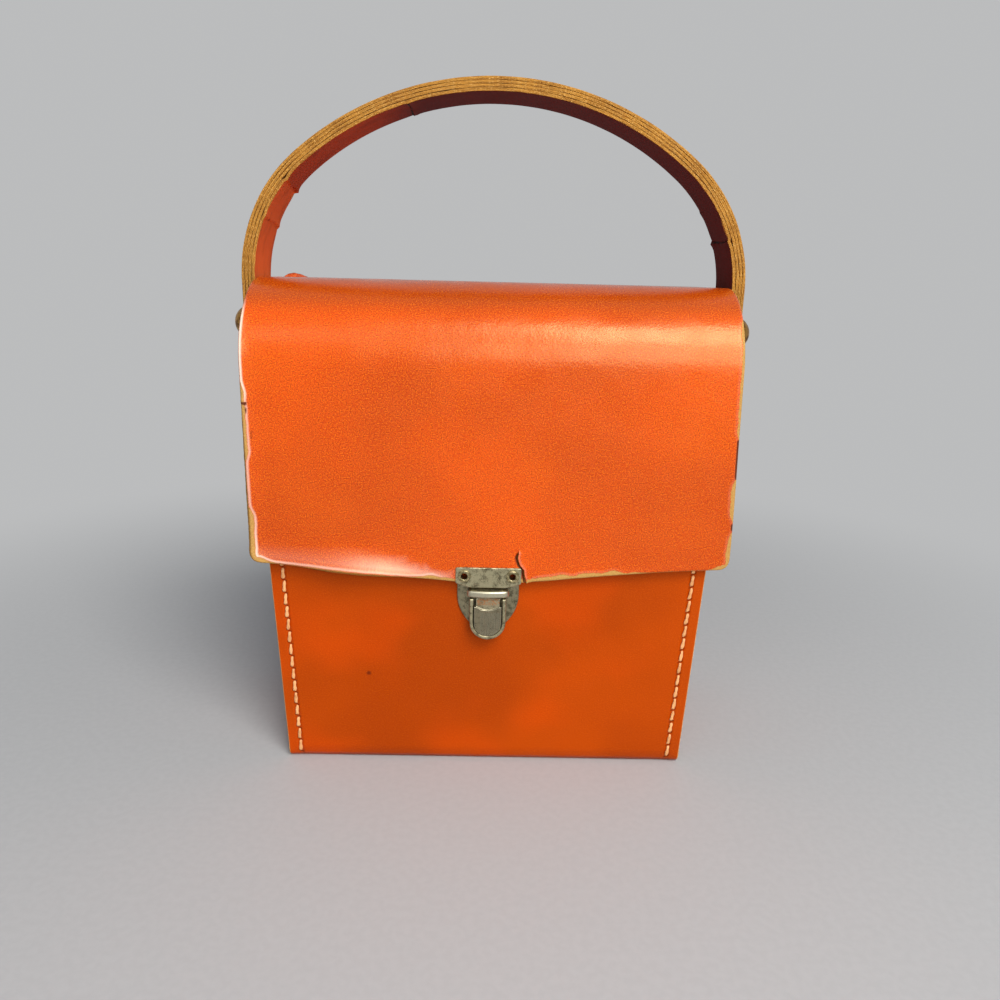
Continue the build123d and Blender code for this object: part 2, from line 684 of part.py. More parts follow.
def parts():
    """Every piece of the case by name."""
    right_gusset = gusset()
    right_lining = gusset_lining()
    right_divider = divider()
    right_rivet = handle_rivet()
    right_spacer = handle_spacer()
    right_burr = handle_burr()
    right_stud = handle_stud()
    return {
        "body_wrap": body_wrap(),
        "gusset_left": mirrored(right_gusset),
        "gusset_right": right_gusset,
        "front_board": front_board(),
        "back_board": back_board(),
        "base_board": base_board(),
        "wrap_lining": wrap_lining(),
        "gusset_lining_left": mirrored(right_lining),
        "gusset_lining_right": right_lining,
        "divider_left": mirrored(right_divider),
        "divider_right": right_divider,
        "stitches_front_left": stitches(FRONT, -1, FRONT_RIM, -1),
        "stitches_front_right": stitches(FRONT, -1, FRONT_RIM, 1),
        "stitches_back_left": stitches(BACK, 1, FOLD_Z, -1),
        "stitches_back_right": stitches(BACK, 1, FOLD_Z, 1),
        "hinge_fold": hinge_fold(),
        "catch_plate": catch_plate(),
        "catch_backing_plate": catch_backing_plate(),
        "handle_rivet_left": mirrored(right_rivet),
        "handle_rivet_right": right_rivet,
        "handle_spacer_left": mirrored(right_spacer),
        "handle_spacer_right": right_spacer,
        "handle_burr_left": mirrored(right_burr),
        "handle_burr_right": right_burr,
        "lid_leather": lid_leather(),
        "lid_lining": lid_lining(),
        "hasp_plate": hasp_plate(),
        "hasp_eyelets": hasp_eyelets(),
        "hasp_backing_plate": hasp_backing_plate(),
        "button_pin": pin_bar(),
        "button_spring": button_spring(),
        "clasp_button": clasp_button(),
        "handle_outer_ply": handle_ply(0),
        "handle_core_ply_outer": handle_ply(1),
        "handle_core_ply_inner": handle_ply(2),
        "handle_inner_ply": handle_ply(3),
        "handle_stud_left": mirrored(right_stud),
        "handle_stud_right": right_stud,
    }


os.makedirs("parts", exist_ok=True)
for name, shape in parts().items():
    export_step(shape, f"parts/{name}.step")
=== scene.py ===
import json
import random
from math import acos, cos, degrees, exp, hypot, pi, radians, sin

import bpy
import numpy as np
from mathutils import Matrix, Vector, noise
from mathutils.geometry import delaunay_2d_cdt


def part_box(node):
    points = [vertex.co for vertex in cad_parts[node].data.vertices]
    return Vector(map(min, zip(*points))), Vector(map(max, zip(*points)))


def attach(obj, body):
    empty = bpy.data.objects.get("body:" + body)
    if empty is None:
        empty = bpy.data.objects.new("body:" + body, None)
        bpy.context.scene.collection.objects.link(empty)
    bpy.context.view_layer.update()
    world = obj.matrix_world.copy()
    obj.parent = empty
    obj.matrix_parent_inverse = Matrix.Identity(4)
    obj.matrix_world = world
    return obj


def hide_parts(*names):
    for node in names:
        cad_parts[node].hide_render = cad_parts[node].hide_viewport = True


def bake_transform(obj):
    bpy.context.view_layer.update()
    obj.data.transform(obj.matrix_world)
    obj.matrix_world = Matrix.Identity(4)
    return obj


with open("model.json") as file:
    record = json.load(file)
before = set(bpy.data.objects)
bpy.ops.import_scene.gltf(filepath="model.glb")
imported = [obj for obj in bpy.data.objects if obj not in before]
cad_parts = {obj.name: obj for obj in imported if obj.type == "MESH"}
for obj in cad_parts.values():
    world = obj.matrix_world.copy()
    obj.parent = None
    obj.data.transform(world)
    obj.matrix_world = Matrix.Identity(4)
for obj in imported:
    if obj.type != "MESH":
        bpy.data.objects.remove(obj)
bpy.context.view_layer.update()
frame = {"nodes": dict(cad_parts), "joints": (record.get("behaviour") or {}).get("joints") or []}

# Looks of the travel bar case. Shapes are worked out in millimetres in the frame's axes and
# written in metres. Leather sheets are drawn flat, then bent along the same runs and folds as
# the frame's solids.

MM = 0.001

# Case body and lid, as in the frame
FRONT, BACK = [corner.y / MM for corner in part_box("body_wrap")]
LID_LOW, LID_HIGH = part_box("lid_leather")
LID_TOP = LID_HIGH.z / MM
FLAP_FACE = LID_LOW.y / MM
FOLD_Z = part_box("hinge_fold")[0].z / MM
FOLD_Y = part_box("hinge_fold")[0].y / MM
LEATHER = 3.2
FRONT_HALF = 100.0
BASE_HALF = 88.0
SKEW = 1.2 / 92.0
TAPER = (FRONT_HALF - BASE_HALF) / LID_TOP
BASE_FOLD_R = 3.6
FRONT_FOLD_R = 33.0
HINGE_FOLD_R = LID_TOP - FOLD_Z
FRONT_RIM = 181.0
FLAP_SIDE_Z = 95.0
FLAP_CLASP_Z = 87.2
FLAP_POINT_Z = LID_LOW.z / MM
FLAP_CORNER_R = 6.0
HASP_HALF = 13.9
HASP_NECK_HALF = 8.2
EYELET_X = 10.2
EYELET_Z = 90.2
EYELET_HOLE_R = 1.85
SEAM_INSET = 5.5
STITCH_PITCH = 5.85
STITCH_LENGTH = 5.2
STITCH_R = 0.6
STITCH_SLANT = 0.3
SEAM_END = 3.5
FIRST_STITCH = BASE_FOLD_R + STITCH_LENGTH / 2

# Strap handle, as in the frame
STRAP_Y = 1.0
STRAP_WIDTH = 28.0
PLIES = 4
PLY = 1.4
STRAP = PLIES * PLY
PIVOT_Z = [joint["pos_m"][2] for joint in frame["joints"] if joint["name"] == "handle_swing"][0] / MM
STRAP_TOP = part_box("handle_outer_ply")[1].z / MM
STRAP_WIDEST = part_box("handle_outer_ply")[1].x / MM
CROWN_TURN = 40.0
SHOULDER_R = 67.0
BEND_R = 22.0
TUCK_R = 16.0
PIVOT_RUN = 11.3
SPACER_GAP = 1.05
RIVET_R = 2.55
STUD_Z = sum(corner.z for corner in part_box("handle_stud_left")) / 2 / MM
STUD_SHANK_R = 1.85

# Colours, as they look in plain light; the ones noted below also paint shade, highlights and glints
ORANGE = "E84A01"
ORANGE_DEEP = "CC3C01"
ORANGE_PALE = "F05C04"
BODY_ORANGE = "BE4501"
BODY_DEEP = "AC3C01"
# The next colour is painted shade on the lid's top
TOP_SHADE = "9A3404"
SPECKLE = "8A2A02"
# The next colour paints glints on the grain
GLINT = "FF8A14"
# The next colour is a painted highlight, a pale rubbed finish in part
RUB_AND_SHEEN = "FFE6D2"
TAN = "C98E38"
TAN_LIGHT = "E6B566"
TAN_DARK = "8F5A1E"
GLUE = "5A2C12"
FLESH = "8F5830"
FLESH_DARK = "6C3D1E"
STRAP_ORANGE = "EC6E34"
STRAP_RED = "BC4A22"
# The next colour is the strap's maroon dye and, in part, painted shade
STRAP_MAROON_AND_SHADE = "641A12"
MAROON = "5E1C0A"
SOOT = "2A0C06"
WORN_METAL = "D8D2B8"
BARE_METAL = "EAE6CC"
RUST = "A4683C"
GLAZE = (1.0, 0.8, 0.42, 1.0)
PALE = (0.50, 0.505, 0.51, 1.0)

# Finish of the leather: size of its dots in millimetres, roughness, and strengths, among them how much
# painted shade darkens the lid's top
GRAIN = 0.5
FLAP_GLOSS = 0.27
PLAIN_GLOSS = 0.36
TOP_SHADE_SHARE = 0.68
BODY_SHINE = 0.18
BODY_DOTS = 0.16


def colour(code):
    """A hex colour as linear values."""
    parts = [int(code[k:k + 2], 16) / 255 for k in (0, 2, 4)]
    return [p / 12.92 if p < 0.04045 else ((p + 0.055) / 1.055) ** 2.4 for p in parts] + [1.0]


class Nodes:
    """A node tree and short calls that add to it."""

    def __init__(self, owner):
        owner.use_nodes = True
        self.tree = owner.node_tree

    def node(self, kind, inputs=(), **settings):
        made = self.tree.nodes.new("ShaderNode" + kind)
        for key, value in settings.items():
            setattr(made, key, value)
        for key, value in dict(inputs).items():
            self.plug(made.inputs[key], value)
        return made

    def plug(self, socket, value):
        if isinstance(value, bpy.types.NodeSocket):
            self.tree.links.new(value, socket)
        else:
            socket.default_value = colour(value) if isinstance(value, str) else value

    def math(self, operation, *values):
        return self.node("Math", enumerate(values), operation=operation).outputs[0]

    def plus(self, first, second):
        return self.math("ADD", first, second)

    def minus(self, first, second):
        return self.math("SUBTRACT", first, second)

    def times(self, first, second):
        return self.math("MULTIPLY", first, second)

    def reach(self, first, second):
        """Length of a vector with two components."""
        squares = [self.math("POWER", value, 2.0) for value in (first, second)]
        return self.math("SQRT", self.plus(*squares))

    def span(self, value, low, high, to_low=0.0, to_high=1.0):
        """Smooth step of a value from one span to another."""
        values = enumerate((value, low, high, to_low, to_high))
        return self.node("MapRange", values, interpolation_type="SMOOTHSTEP").outputs[0]

    def seen(self):
        """1 for what the camera sees, straight or as a reflection."""
        rays = self.node("LightPath").outputs
        return self.math("MAXIMUM", rays["Is Camera Ray"], rays["Is Glossy Ray"])

    def show(self, output, share, first, second):
        """Blend two shaders into the tree's output."""
        blend = self.node("MixShader", enumerate((share, first, second)))
        self.plug(self.tree.nodes[output].inputs["Surface"], blend.outputs[0])


class Look(Nodes):
    """One material, with its textures placed on the flat sheet or by the place at rest."""

    def __init__(self, name, sheet=False, **values):
        self.material = bpy.data.materials.new(name)
        super().__init__(self.material)
        self.main = self.tree.nodes["Principled BSDF"]
        self.sheet = sheet
        for key, value in values.items():
            self.main.inputs[key.replace("_", " ")].default_value = value

    def mix(self, share, first, second):
        return self.node("Mix", {0: share, 6: first, 7: second}, data_type="RGBA").outputs[2]

    def coat(self, base, code, value, low, high, most=1.0):
        """Lay a colour over another as a value goes from low to high."""
        return self.mix(self.span(value, low, high, 0.0, most), base, code)

    def attribute(self, name, output="Fac"):
        return self.node("Attribute", attribute_name=name).outputs[output]

    def where(self, sheet):
        """Place on the flat sheet in millimetres, or at rest in metres."""
        return self.attribute("flat", "Vector") if sheet else self.node("TexCoord").outputs["Object"]

    def axes(self, sheet):
        """The X, Y and Z of a place."""
        return self.node("SeparateXYZ", {0: self.where(sheet)}).outputs

    def scaled(self, size, stretch=(1, 1, 1)):
        """Place over a feature size in millimetres."""
        unit = 1.0 if self.sheet else MM
        scale = [1 / (unit * size * s) for s in stretch]
        return self.node("Mapping", {"Vector": self.where(self.sheet), "Scale": scale}).outputs[0]

    def noise(self, size, detail=2.0, roughness=0.5, distortion=0.0, stretch=(1, 1, 1)):
        values = {"Vector": self.scaled(size, stretch), "Scale": 1.0, "Detail": detail}
        values.update(Roughness=roughness, Distortion=distortion)
        return self.node("TexNoise", values).outputs["Fac"]

    def cells(self, size, feature="F1"):
        values = {"Vector": self.scaled(size), "Scale": 1.0}
        return self.node("TexVoronoi", values, feature=feature).outputs["Distance"]

    def bump(self, height, depth, below=None, strength=1.0):
        """Relief in millimetres, laid over another relief."""
        values = {"Strength": strength, "Distance": depth * MM, "Height": height}
        if below is not None:
            values["Normal"] = below
        return self.node("Bump", values).outputs[0]

    def finish(self, base, rough, normal):
        for key, value in (("Base Color", base), ("Roughness", rough), ("Normal", normal)):
            self.plug(self.main.inputs[key], value)
        return self.material


def grain(look):
    """Fine pebble of finished leather and the broad waves under it."""
    waves = look.bump(look.noise(9.0, 3.0), 0.3, strength=0.5)
    return look.bump(look.cells(0.85, "SMOOTH_F1"), 0.05, waves, 0.8)


def speckled(look, base, strength):
    """Fine dark dots of the grain, and bright dots that are painted glints on it."""
    dots = look.noise(GRAIN, 3.0, 0.75)
    base = look.coat(base, SPECKLE, dots, 0.46, 0.66, strength)
    return look.coat(base, GLINT, dots, 0.52, 0.32, strength)


def stain(look, u, v, radius):
    """Mask of one small stain on the flat sheet, with a ragged outline."""
    x, y, z = look.axes(True)
    away = look.reach(look.minus(x, u), look.minus(y, v))
    ragged = look.times(look.noise(1.6, 3.0, 0.6), radius)
    return look.span(look.plus(away, ragged), 1.5 * radius, 0.7 * radius)


def wear(look, size):
    """Ragged noise, and the mask of the worn stretches that it gives an outline."""
    ragged = look.times(look.minus(look.noise(size, 4.0, 0.7), 0.5), 1.1)
    return ragged, look.span(look.plus(look.attribute("worn"), ragged), 0.46, 0.56)


def seam_marks(look):
    """Groove beside the raw edge and the slanted awl slits between stitches, as masks."""
    across = look.minus(look.attribute("side"), SEAM_INSET)
    groove = look.span(look.math("ABSOLUTE", across), 1.7, 0.4)
    height = look.times(look.axes(False)["Z"], 1 / MM)
    turns = look.minus(height, FIRST_STITCH - STITCH_PITCH / 2)
    turns = look.plus(turns, look.times(across, 0.5))
    phase = look.math("PINGPONG", turns, STITCH_PITCH / 2)
    away = look.reach(look.math("DIVIDE", phase, 0.42), look.math("DIVIDE", across, 1.15))
    return groove, look.span(away, 1.25, 0.7)


def sewn(look, base, normal):
    """The body's own marks: a dark spot, deeper dye by the hinge, and its sewn raw edges."""
    base = look.mix(look.times(stain(look, *DARK_SPOT), 0.75), base, MAROON)
    base = look.coat(base, ORANGE_DEEP, look.axes(True)["Y"], V_BACK + 70.0, V_BACK + 4.0)
    groove, slits = seam_marks(look)
    base = look.mix(look.times(groove, 0.3), base, BODY_DEEP)
    base = look.mix(look.times(slits, 0.45), base, MAROON)
    base = look.coat(base, TAN_LIGHT, look.attribute("side"), 0.55, 0.15, 0.7)
    return base, look.bump(look.plus(groove, slits), -0.5, normal, 0.8)


def finished_leather(name, dyes, gloss, shine=0.68, dots=0.75, marks=None):
    """Glazed leather: mottled dye, fine grain, chips that show the tan layer under the finish.

    The dyes are the main, the deep and the pale one; marks lays a sheet's own marks over them.
    """
    look = Look(name, True, Specular_IOR_Level=shine, Specular_Tint=GLAZE)
    main, deep, pale = dyes
    base = look.coat(deep, main, look.noise(75.0, 2.5, 0.45), 0.34, 0.66)
    high = look.noise(48.0, 2.0, 0.5, stretch=(1.3, 1.0, 1.0))
    base = look.coat(base, pale, high, 0.5, 0.74, 0.35)
    # Painted shade that darkens the lid's top
    base = look.mix(look.times(look.attribute("top_shade"), TOP_SHADE_SHARE), base, TOP_SHADE)
    base = speckled(look, base, dots)
    normal = grain(look)
    rough = look.span(look.noise(14.0, 3.0, 0.55), 0.3, 0.7, gloss - 0.03, gloss + 0.05)
    if marks:
        base, normal = marks(look, base, normal)
    ragged, worn = wear(look, 1.5)
    fibre = look.noise(0.5, 3.0, 0.7, stretch=(1.0, 1.6, 1.0))
    band = look.attribute("band")
    beyond = look.minus(look.attribute("rim"), band)
    line = look.times(look.span(beyond, -0.2, 0.4), look.span(beyond, 1.4, 0.5))
    # Painted highlight: a pale line beside the flap's edges and the tear, a rubbed finish in part
    base = look.mix(look.times(line, look.attribute("rub_sheen")), base, RUB_AND_SHEEN)
    # Painted highlight on the curled left half of the flap's lower edge
    base = look.mix(look.attribute("low_sheen"), base, RUB_AND_SHEEN)
    torn_to = look.plus(beyond, look.times(ragged, 1.3))
    stripped = look.times(look.span(torn_to, 0.2, -0.2), look.span(band, 0.1, 0.4))
    worn = look.math("MAXIMUM", worn, stripped)
    base = look.mix(worn, base, look.mix(fibre, TAN_DARK, TAN_LIGHT))
    base = look.coat(base, MAROON, look.attribute("crack"), 0.35, 0.8)
    rough = look.math("MAXIMUM", rough, look.times(worn, 0.75))
    normal = look.bump(look.times(worn, fibre), -0.25, normal, 0.8)
    return look.finish(base, rough, normal)


def strap_inside(name):
    """Inner face of the strap: orange at the left leg, red past its crack, and towards the right a darker
    maroon, the strap's own dye in part and painted shade of the side turned from the light in part.
    """
    look = Look(name, True, Specular_IOR_Level=0.03, Specular_Tint=GLAZE)
    x, y, z = look.axes(True)
    along = look.minus(y, look.times(x, CRACK_LEAN))
    base = look.coat(STRAP_ORANGE, STRAP_RED, along, FIRST_CRACK - 0.6, FIRST_CRACK + 1.4)
    # Darker maroon towards the right: the strap's dye in part, painted shade in part
    base = look.coat(base, STRAP_MAROON_AND_SHADE, along, BLACK_CUT - 26.0, BLACK_CUT + 8.0)
    cloud = look.noise(9.0, 3.0, 0.55, stretch=(1.0, 2.6, 1.0))
    base = look.coat(base, MAROON, cloud, 0.45, 0.72, 0.3)
    worn = wear(look, 1.3)[1]
    fibre = look.noise(0.5, 3.0, 0.7, stretch=(1.0, 2.6, 1.0))
    base = look.mix(worn, base, look.mix(fibre, TAN, TAN_LIGHT))
    base = look.coat(base, SOOT, look.attribute("crack"), 0.35, 0.8)
    rough = look.math("MAXIMUM", 0.6, look.times(worn, 0.8))
    return look.finish(base, rough, grain(look))


def raw_edge(name, plies=False):
    """Cut edge: golden fibres in long thin layers, with darker dirt between them."""
    look = Look(name, True, Specular_IOR_Level=0.2)
    layers = look.noise(3.0, 4.0, 0.65, 0.3, (1.0, 3.2, 0.07))
    specks = look.noise(0.55, 3.0, 0.75, stretch=(1.0, 1.7, 0.6))
    base = look.coat(TAN_DARK, TAN, layers, 0.36, 0.62)
    base = look.coat(base, TAN_LIGHT, specks, 0.5, 0.68, 0.85)
    base = look.coat(base, GLUE, specks, 0.42, 0.3, 0.6)
    normal = look.bump(specks, 0.35)
    if plies:
        wander = look.times(look.noise(7.0, 3.0, stretch=(1.0, 1.6, 1.0)), 0.34)
        depth = look.plus(look.axes(True)["Z"], wander)
        patches = look.noise(11.0, 3.0, 0.6, stretch=(1.0, 1.5, 1.0))
        faint = look.span(patches, 0.36, 0.62, 0.15, 0.75)
        glue = look.times(look.span(depth, PLY - 0.02, PLY + 0.12), faint)
        base = look.mix(glue, base, GLUE)
        normal = look.bump(glue, -0.3, normal)
    return look.finish(base, 0.78, look.bump(layers, 0.2, normal))


def flesh_side(name):
    """Rough underside of the leather."""
    look = Look(name, True, Specular_IOR_Level=0.2)
    nap = look.noise(0.9, 4.0, 0.75)
    base = look.coat(FLESH_DARK, FLESH, look.noise(24.0, 3.0), 0.35, 0.65)
    base = look.coat(base, TAN, nap, 0.5, 0.75, 0.5)
    return look.finish(base, 0.9, look.bump(nap, 0.3))


def gusset_leather():
    """Side panels of the same hide, placed by where they are."""
    look = Look("gusset_finish", Specular_IOR_Level=BODY_SHINE, Specular_Tint=GLAZE)
    base = look.coat(BODY_DEEP, BODY_ORANGE, look.noise(60.0, 2.5, 0.45), 0.36, 0.66)
    base = speckled(look, base, BODY_DOTS)
    rough = look.span(look.noise(14.0, 3.0), 0.3, 0.7, 0.34, 0.42)
    return look.finish(base, rough, grain(look))


def thread_material():
    """Waxed peach thread, a little dirty."""
    look = Look("waxed_thread", Specular_IOR_Level=0.3)
    lay = look.noise(0.35, 2.0)
    base = look.coat("F2B478", "C8824A", look.noise(4.0, 3.0, 0.6), 0.42, 0.7, 0.6)
    base = look.coat(base, "FFD6A8", lay, 0.55, 0.75, 0.45)
    return look.finish(base, 0.55, look.bump(lay, 0.08))


# Height from which the button has rusted
RUST_Z = 77.0


def old_metal(name, light, dark, rust=0.0, raised=None):
    """Plated sheet metal, cloudy and brighter at its edges; raised is where it is rubbed bare."""
    look = Look(name, Metallic=1.0)
    cloud = look.noise(2.6, 5.0, 0.6, 0.4)
    fine = look.noise(0.45, 4.0, 0.7)
    patina = look.plus(look.times(cloud, 0.6), look.times(fine, 0.4))
    base = look.coat(light, dark, patina, 0.44, 0.64)
    bevel = look.node("Bevel", {"Radius": 0.35 * MM}, samples=6).outputs[0]
    normals = {0: bevel, 1: look.node("NewGeometry").outputs["Normal"]}
    turned = look.node("VectorMath", normals, operation="DOT_PRODUCT").outputs["Value"]
    base = look.coat(base, WORN_METAL, turned, 0.995, 0.9, 0.8)
    x, y, z = look.axes(False)
    if raised:
        base = look.coat(base, BARE_METAL, y, (raised + 0.5) * MM, (raised - 0.3) * MM, 0.5)
    if rust:
        high = look.span(z, RUST_Z * MM, (RUST_Z + 0.6) * MM)
        spots = look.span(look.noise(0.9, 4.0, 0.7), 0.45, 0.6, 0.0, rust)
        base = look.mix(look.times(high, spots), base, RUST)
    rough = look.span(patina, 0.38, 0.66, 0.3, 0.52)
    return look.finish(base, rough, look.bump(fine, 0.04, bevel, 0.5))


def old_brass(name, light, dark, size=1.4):
    """Brass gone brown in patches."""
    look = Look(name, Metallic=1.0)
    cloud = look.noise(size, 4.0, 0.6)
    base = look.coat(light, dark, cloud, 0.4, 0.62)
    return look.finish(base, look.span(cloud, 0.3, 0.7, 0.28, 0.5), look.bump(cloud, 0.03))


def lining_paper():
    """Plain embossed lining."""
    look = Look("lining_paper", Specular_IOR_Level=0.3)
    base = look.coat("A9824F", "8C6536", look.noise(40.0, 4.0), 0.35, 0.7)
    return look.finish(base, 0.7, look.bump(look.cells(0.8), 0.06))


def board_paper(name, light, dark):
    """Grey-brown pressed board with short fibres."""
    look = Look(name, Specular_IOR_Level=0.2)
    fibre = look.noise(0.9, 4.0, 0.7, stretch=(1.0, 2.4, 1.0))
    base = look.coat(dark, light, fibre, 0.35, 0.7)
    base = look.coat(base, dark, look.noise(30.0, 3.0), 0.5, 0.75, 0.3)
    return look.finish(base, 0.85, look.bump(fibre, 0.12))


class Path:
    """Runs and bends in a plane, measured along their outer face, which lies to the left."""

    def __init__(self, start, heading, steps):
        self.pieces = []
        self.length = 0.0
        here, heading = Vector(start), radians(heading)
        for step in steps:
            radius, turn = (None, 0.0) if len(step) == 1 else (step[0], radians(step[1]))
            run = step[0] if radius is None else radius * abs(turn)
            self.pieces.append((self.length, here, heading, radius, turn))
            here, heading = self.along(self.pieces[-1], run)
            self.length += run

    def along(self, piece, run):
        """Place and heading after a run on one piece."""
        here, heading, radius, turn = piece[1:]
        if radius is None:
            return here + Vector((cos(heading), sin(heading))) * run, heading
        side = 1 if turn > 0 else -1
        centre = here + Vector((-sin(heading), cos(heading))) * radius * side
        angle = side * run / radius
        x, y = here - centre
        turned = Vector((x * cos(angle) - y * sin(angle), x * sin(angle) + y * cos(angle)))
        return centre + turned, heading + angle

    def at(self, distance):
        """Place and outward direction at a distance along the path."""
        passed = [piece for piece in self.pieces if piece[0] <= distance]
        chosen = passed[-1] if passed else self.pieces[0]
        place, heading = self.along(chosen, distance - chosen[0])
        return place, Vector((-sin(heading), cos(heading)))


LID_FLAT_Y = FLAP_FACE + FRONT_FOLD_R
STRIP = Path((FLAP_FACE, 0.0), 90, [
    (LID_TOP - FRONT_FOLD_R,),
    (FRONT_FOLD_R, -90),
    (FOLD_Y - LID_FLAT_Y,),
    (HINGE_FOLD_R, -90),
    (FOLD_Z - BASE_FOLD_R,),
    (BASE_FOLD_R, -90),
    (BACK - FRONT - 2 * BASE_FOLD_R,),
    (BASE_FOLD_R, -90),
    (FRONT_RIM - BASE_FOLD_R,),
])
V_LID = STRIP.pieces[2][0]
V_HINGE = STRIP.pieces[3][0]
V_BACK = STRIP.pieces[4][0]
V_RIM = STRIP.length


def lid_half(y):
    """Distance from the middle to the raw edge of the lid and the hinge."""
    return FRONT_HALF - SKEW * (y - FRONT)


def side_x(y, z):
    """Distance from the middle to the raw edge of the body."""
    return BASE_HALF + TAPER * z - SKEW * (y - FRONT)


def strap_path():
    """The handle's outer face, from its left end over the crown to its right end."""
    crown = radians(CROWN_TURN)
    seat = side_x(STRAP_Y, PIVOT_Z) + SPACER_GAP
    tuck = acos(1 - (STRAP_WIDEST - STRAP - seat) / (BEND_R + TUCK_R))
    crown_r = (STRAP_WIDEST - SHOULDER_R * (1 - sin(crown))) / sin(crown)
    rise = SHOULDER_R * cos(crown) + (BEND_R + TUCK_R) * sin(tuck) + crown_r * (1 - cos(crown))
    leg_run = STRAP_TOP - PIVOT_Z - PIVOT_RUN - rise
    half = [
        (PIVOT_RUN + STRAP_WIDTH / 2,),
        (TUCK_R, degrees(tuck)),
        (BEND_R, -degrees(tuck)),
        (leg_run,),
        (SHOULDER_R, CROWN_TURN - 90),
    ]
    start = (-seat - STRAP, PIVOT_Z - STRAP_WIDTH / 2)
    return Path(start, 90, half + [(crown_r, -2 * CROWN_TURN)] + half[::-1])


STRAP_PATH = strap_path()


def rounded(corners, step):
    """Closed outline through corners (u, v, radius), as points at most a step apart."""
    points = []
    for k, (u, v, radius) in enumerate(corners):
        here = Vector((u, v))
        before = Vector(corners[k - 1][:2]) - here
        after = Vector(corners[(k + 1) % len(corners)][:2]) - here
        if radius == 0:
            points.append(here)
            continue
        angle = before.angle(after)
        reach = min(radius / np.tan(angle / 2), 0.49 * before.length, 0.49 * after.length)
        first = here + before.normalized() * reach
        last = here + after.normalized() * reach
        count = max(3, int(reach * 2 / step))
        for part in range(count + 1):
            t = part / count
            points.append((1 - t) ** 2 * first + 2 * t * (1 - t) * here + t * t * last)
    outline = []
    for k, point in enumerate(points):
        onward = points[(k + 1) % len(points)]
        count = max(1, int((onward - point).length / step + 0.999))
        outline += [point.lerp(onward, part / count) for part in range(count)]
    return outline


def ring_pairs(count, start=0):
    """Numbers of the neighbours round a ring of points."""
    return [(start + k, start + (k + 1) % count) for k in range(count)]


def normals_of(loop):
    """Outward direction at each point of a loop that runs with its inside on the left."""
    shift = np.roll(loop, -1, axis=0) - np.roll(loop, 1, axis=0)
    out = np.stack([shift[:, 1], -shift[:, 0]], axis=1)
    return out / np.maximum(np.linalg.norm(out, axis=1, keepdims=True), 1e-9)


def distance_to(points, loops):
    """Shortest distance from each point to any of the loops."""
    best = np.full(len(points), 1e9)
    for loop in loops:
        ends = np.roll(loop, -1, axis=0)
        run = ends - loop
        square = np.maximum((run ** 2).sum(1), 1e-12)
        for k in range(len(loop)):
            t = np.clip(((points - loop[k]) @ run[k]) / square[k], 0, 1)
            gap = points - (loop[k] + t[:, None] * run[k])
            best = np.minimum(best, np.hypot(gap[:, 0], gap[:, 1]))
    return best


def inside(points, loops):
    """True for each point with an odd number of loop crossings beside it."""
    odd = np.zeros(len(points), bool)
    for loop in loops:
        ends = np.roll(loop, -1, axis=0)
        for (x0, y0), (x1, y1) in zip(loop, ends):
            if y0 == y1:
                continue
            spans = (points[:, 1] < y0) != (points[:, 1] < y1)
            across = x0 + (points[:, 1] - y0) * (x1 - x0) / (y1 - y0)
            odd ^= spans & (points[:, 0] < across)
    return odd


# Distance between points of an outline, and insets of the rows of points along it
OUTLINE_STEP = 1.3
EDGE_ROWS = (1.3, 2.8, 4.8)


def inner_points(loops, step, extra):
    """Points that fill a sheet: rows along its edges, and a grid between them."""
    kept = [np.array(extra, float).reshape(-1, 2)]
    for inset in EDGE_ROWS:
        every = max(1, round(inset / EDGE_ROWS[0]))
        rows = np.concatenate([(loop - normals_of(loop) * inset)[::every] for loop in loops])
        kept.append(rows[distance_to(rows, loops) > 0.9 * inset])
    low, high = loops[0].min(0), loops[0].max(0)
    grid = np.stack(np.meshgrid(
        np.arange(low[0] + step / 2, high[0], step),
        np.arange(low[1] + step / 2, high[1], step),
    ), axis=-1).reshape(-1, 2)
    grid[:, 0] += (np.round(grid[:, 1] / step) % 2) * step / 2
    kept.append(grid[distance_to(grid, loops) > EDGE_ROWS[-1] + step * 0.6])
    points = np.concatenate(kept)
    return points[inside(points, loops)]


def edge_profile(thick, top_r, low_r):
    """(inset, depth) rings of a sheet's edge, from its top face round to its underside."""
    rings = []
    for k in range(5):
        angle = k / 4 * pi / 2
        rings.append((top_r * (1 - sin(angle)), top_r * (1 - cos(angle))))
    middle = thick - top_r - low_r
    rings += [(0.0, top_r + middle * share) for share in (0.33, 0.67)]
    for k in range(3):
        angle = k / 2 * pi / 2
        rings.append((low_r * (1 - cos(angle)), thick - low_r + low_r * sin(angle)))
    return rings


def wave(x, y, z):
    """Soft noise between about -1 and 1."""
    return noise.noise(Vector((x, y, z)))


def add(name, data):
    """A new object in the scene."""
    made = bpy.data.objects.new(name, data)
    bpy.context.scene.collection.objects.link(made)
    return made


def build(name, points, faces, *materials):
    """A smooth mesh object from points in millimetres."""
    mesh = bpy.data.meshes.new(name)
    mesh.from_pydata([Vector(p) * MM for p in points], [], faces)
    mesh.polygons.foreach_set("use_smooth", [True] * len(faces))
    for material in materials:
        mesh.materials.append(material)
    return add(name, mesh)


def note(made, name, values):
    """Write one value, or a vector, per point for the materials to read."""
    values = np.asarray(values, np.float32)
    kind, field = ("FLOAT_VECTOR", "vector") if values.ndim == 2 else ("FLOAT", "value")
    made.data.attributes.new(name, kind, "POINT").data.foreach_set(field, values.ravel())


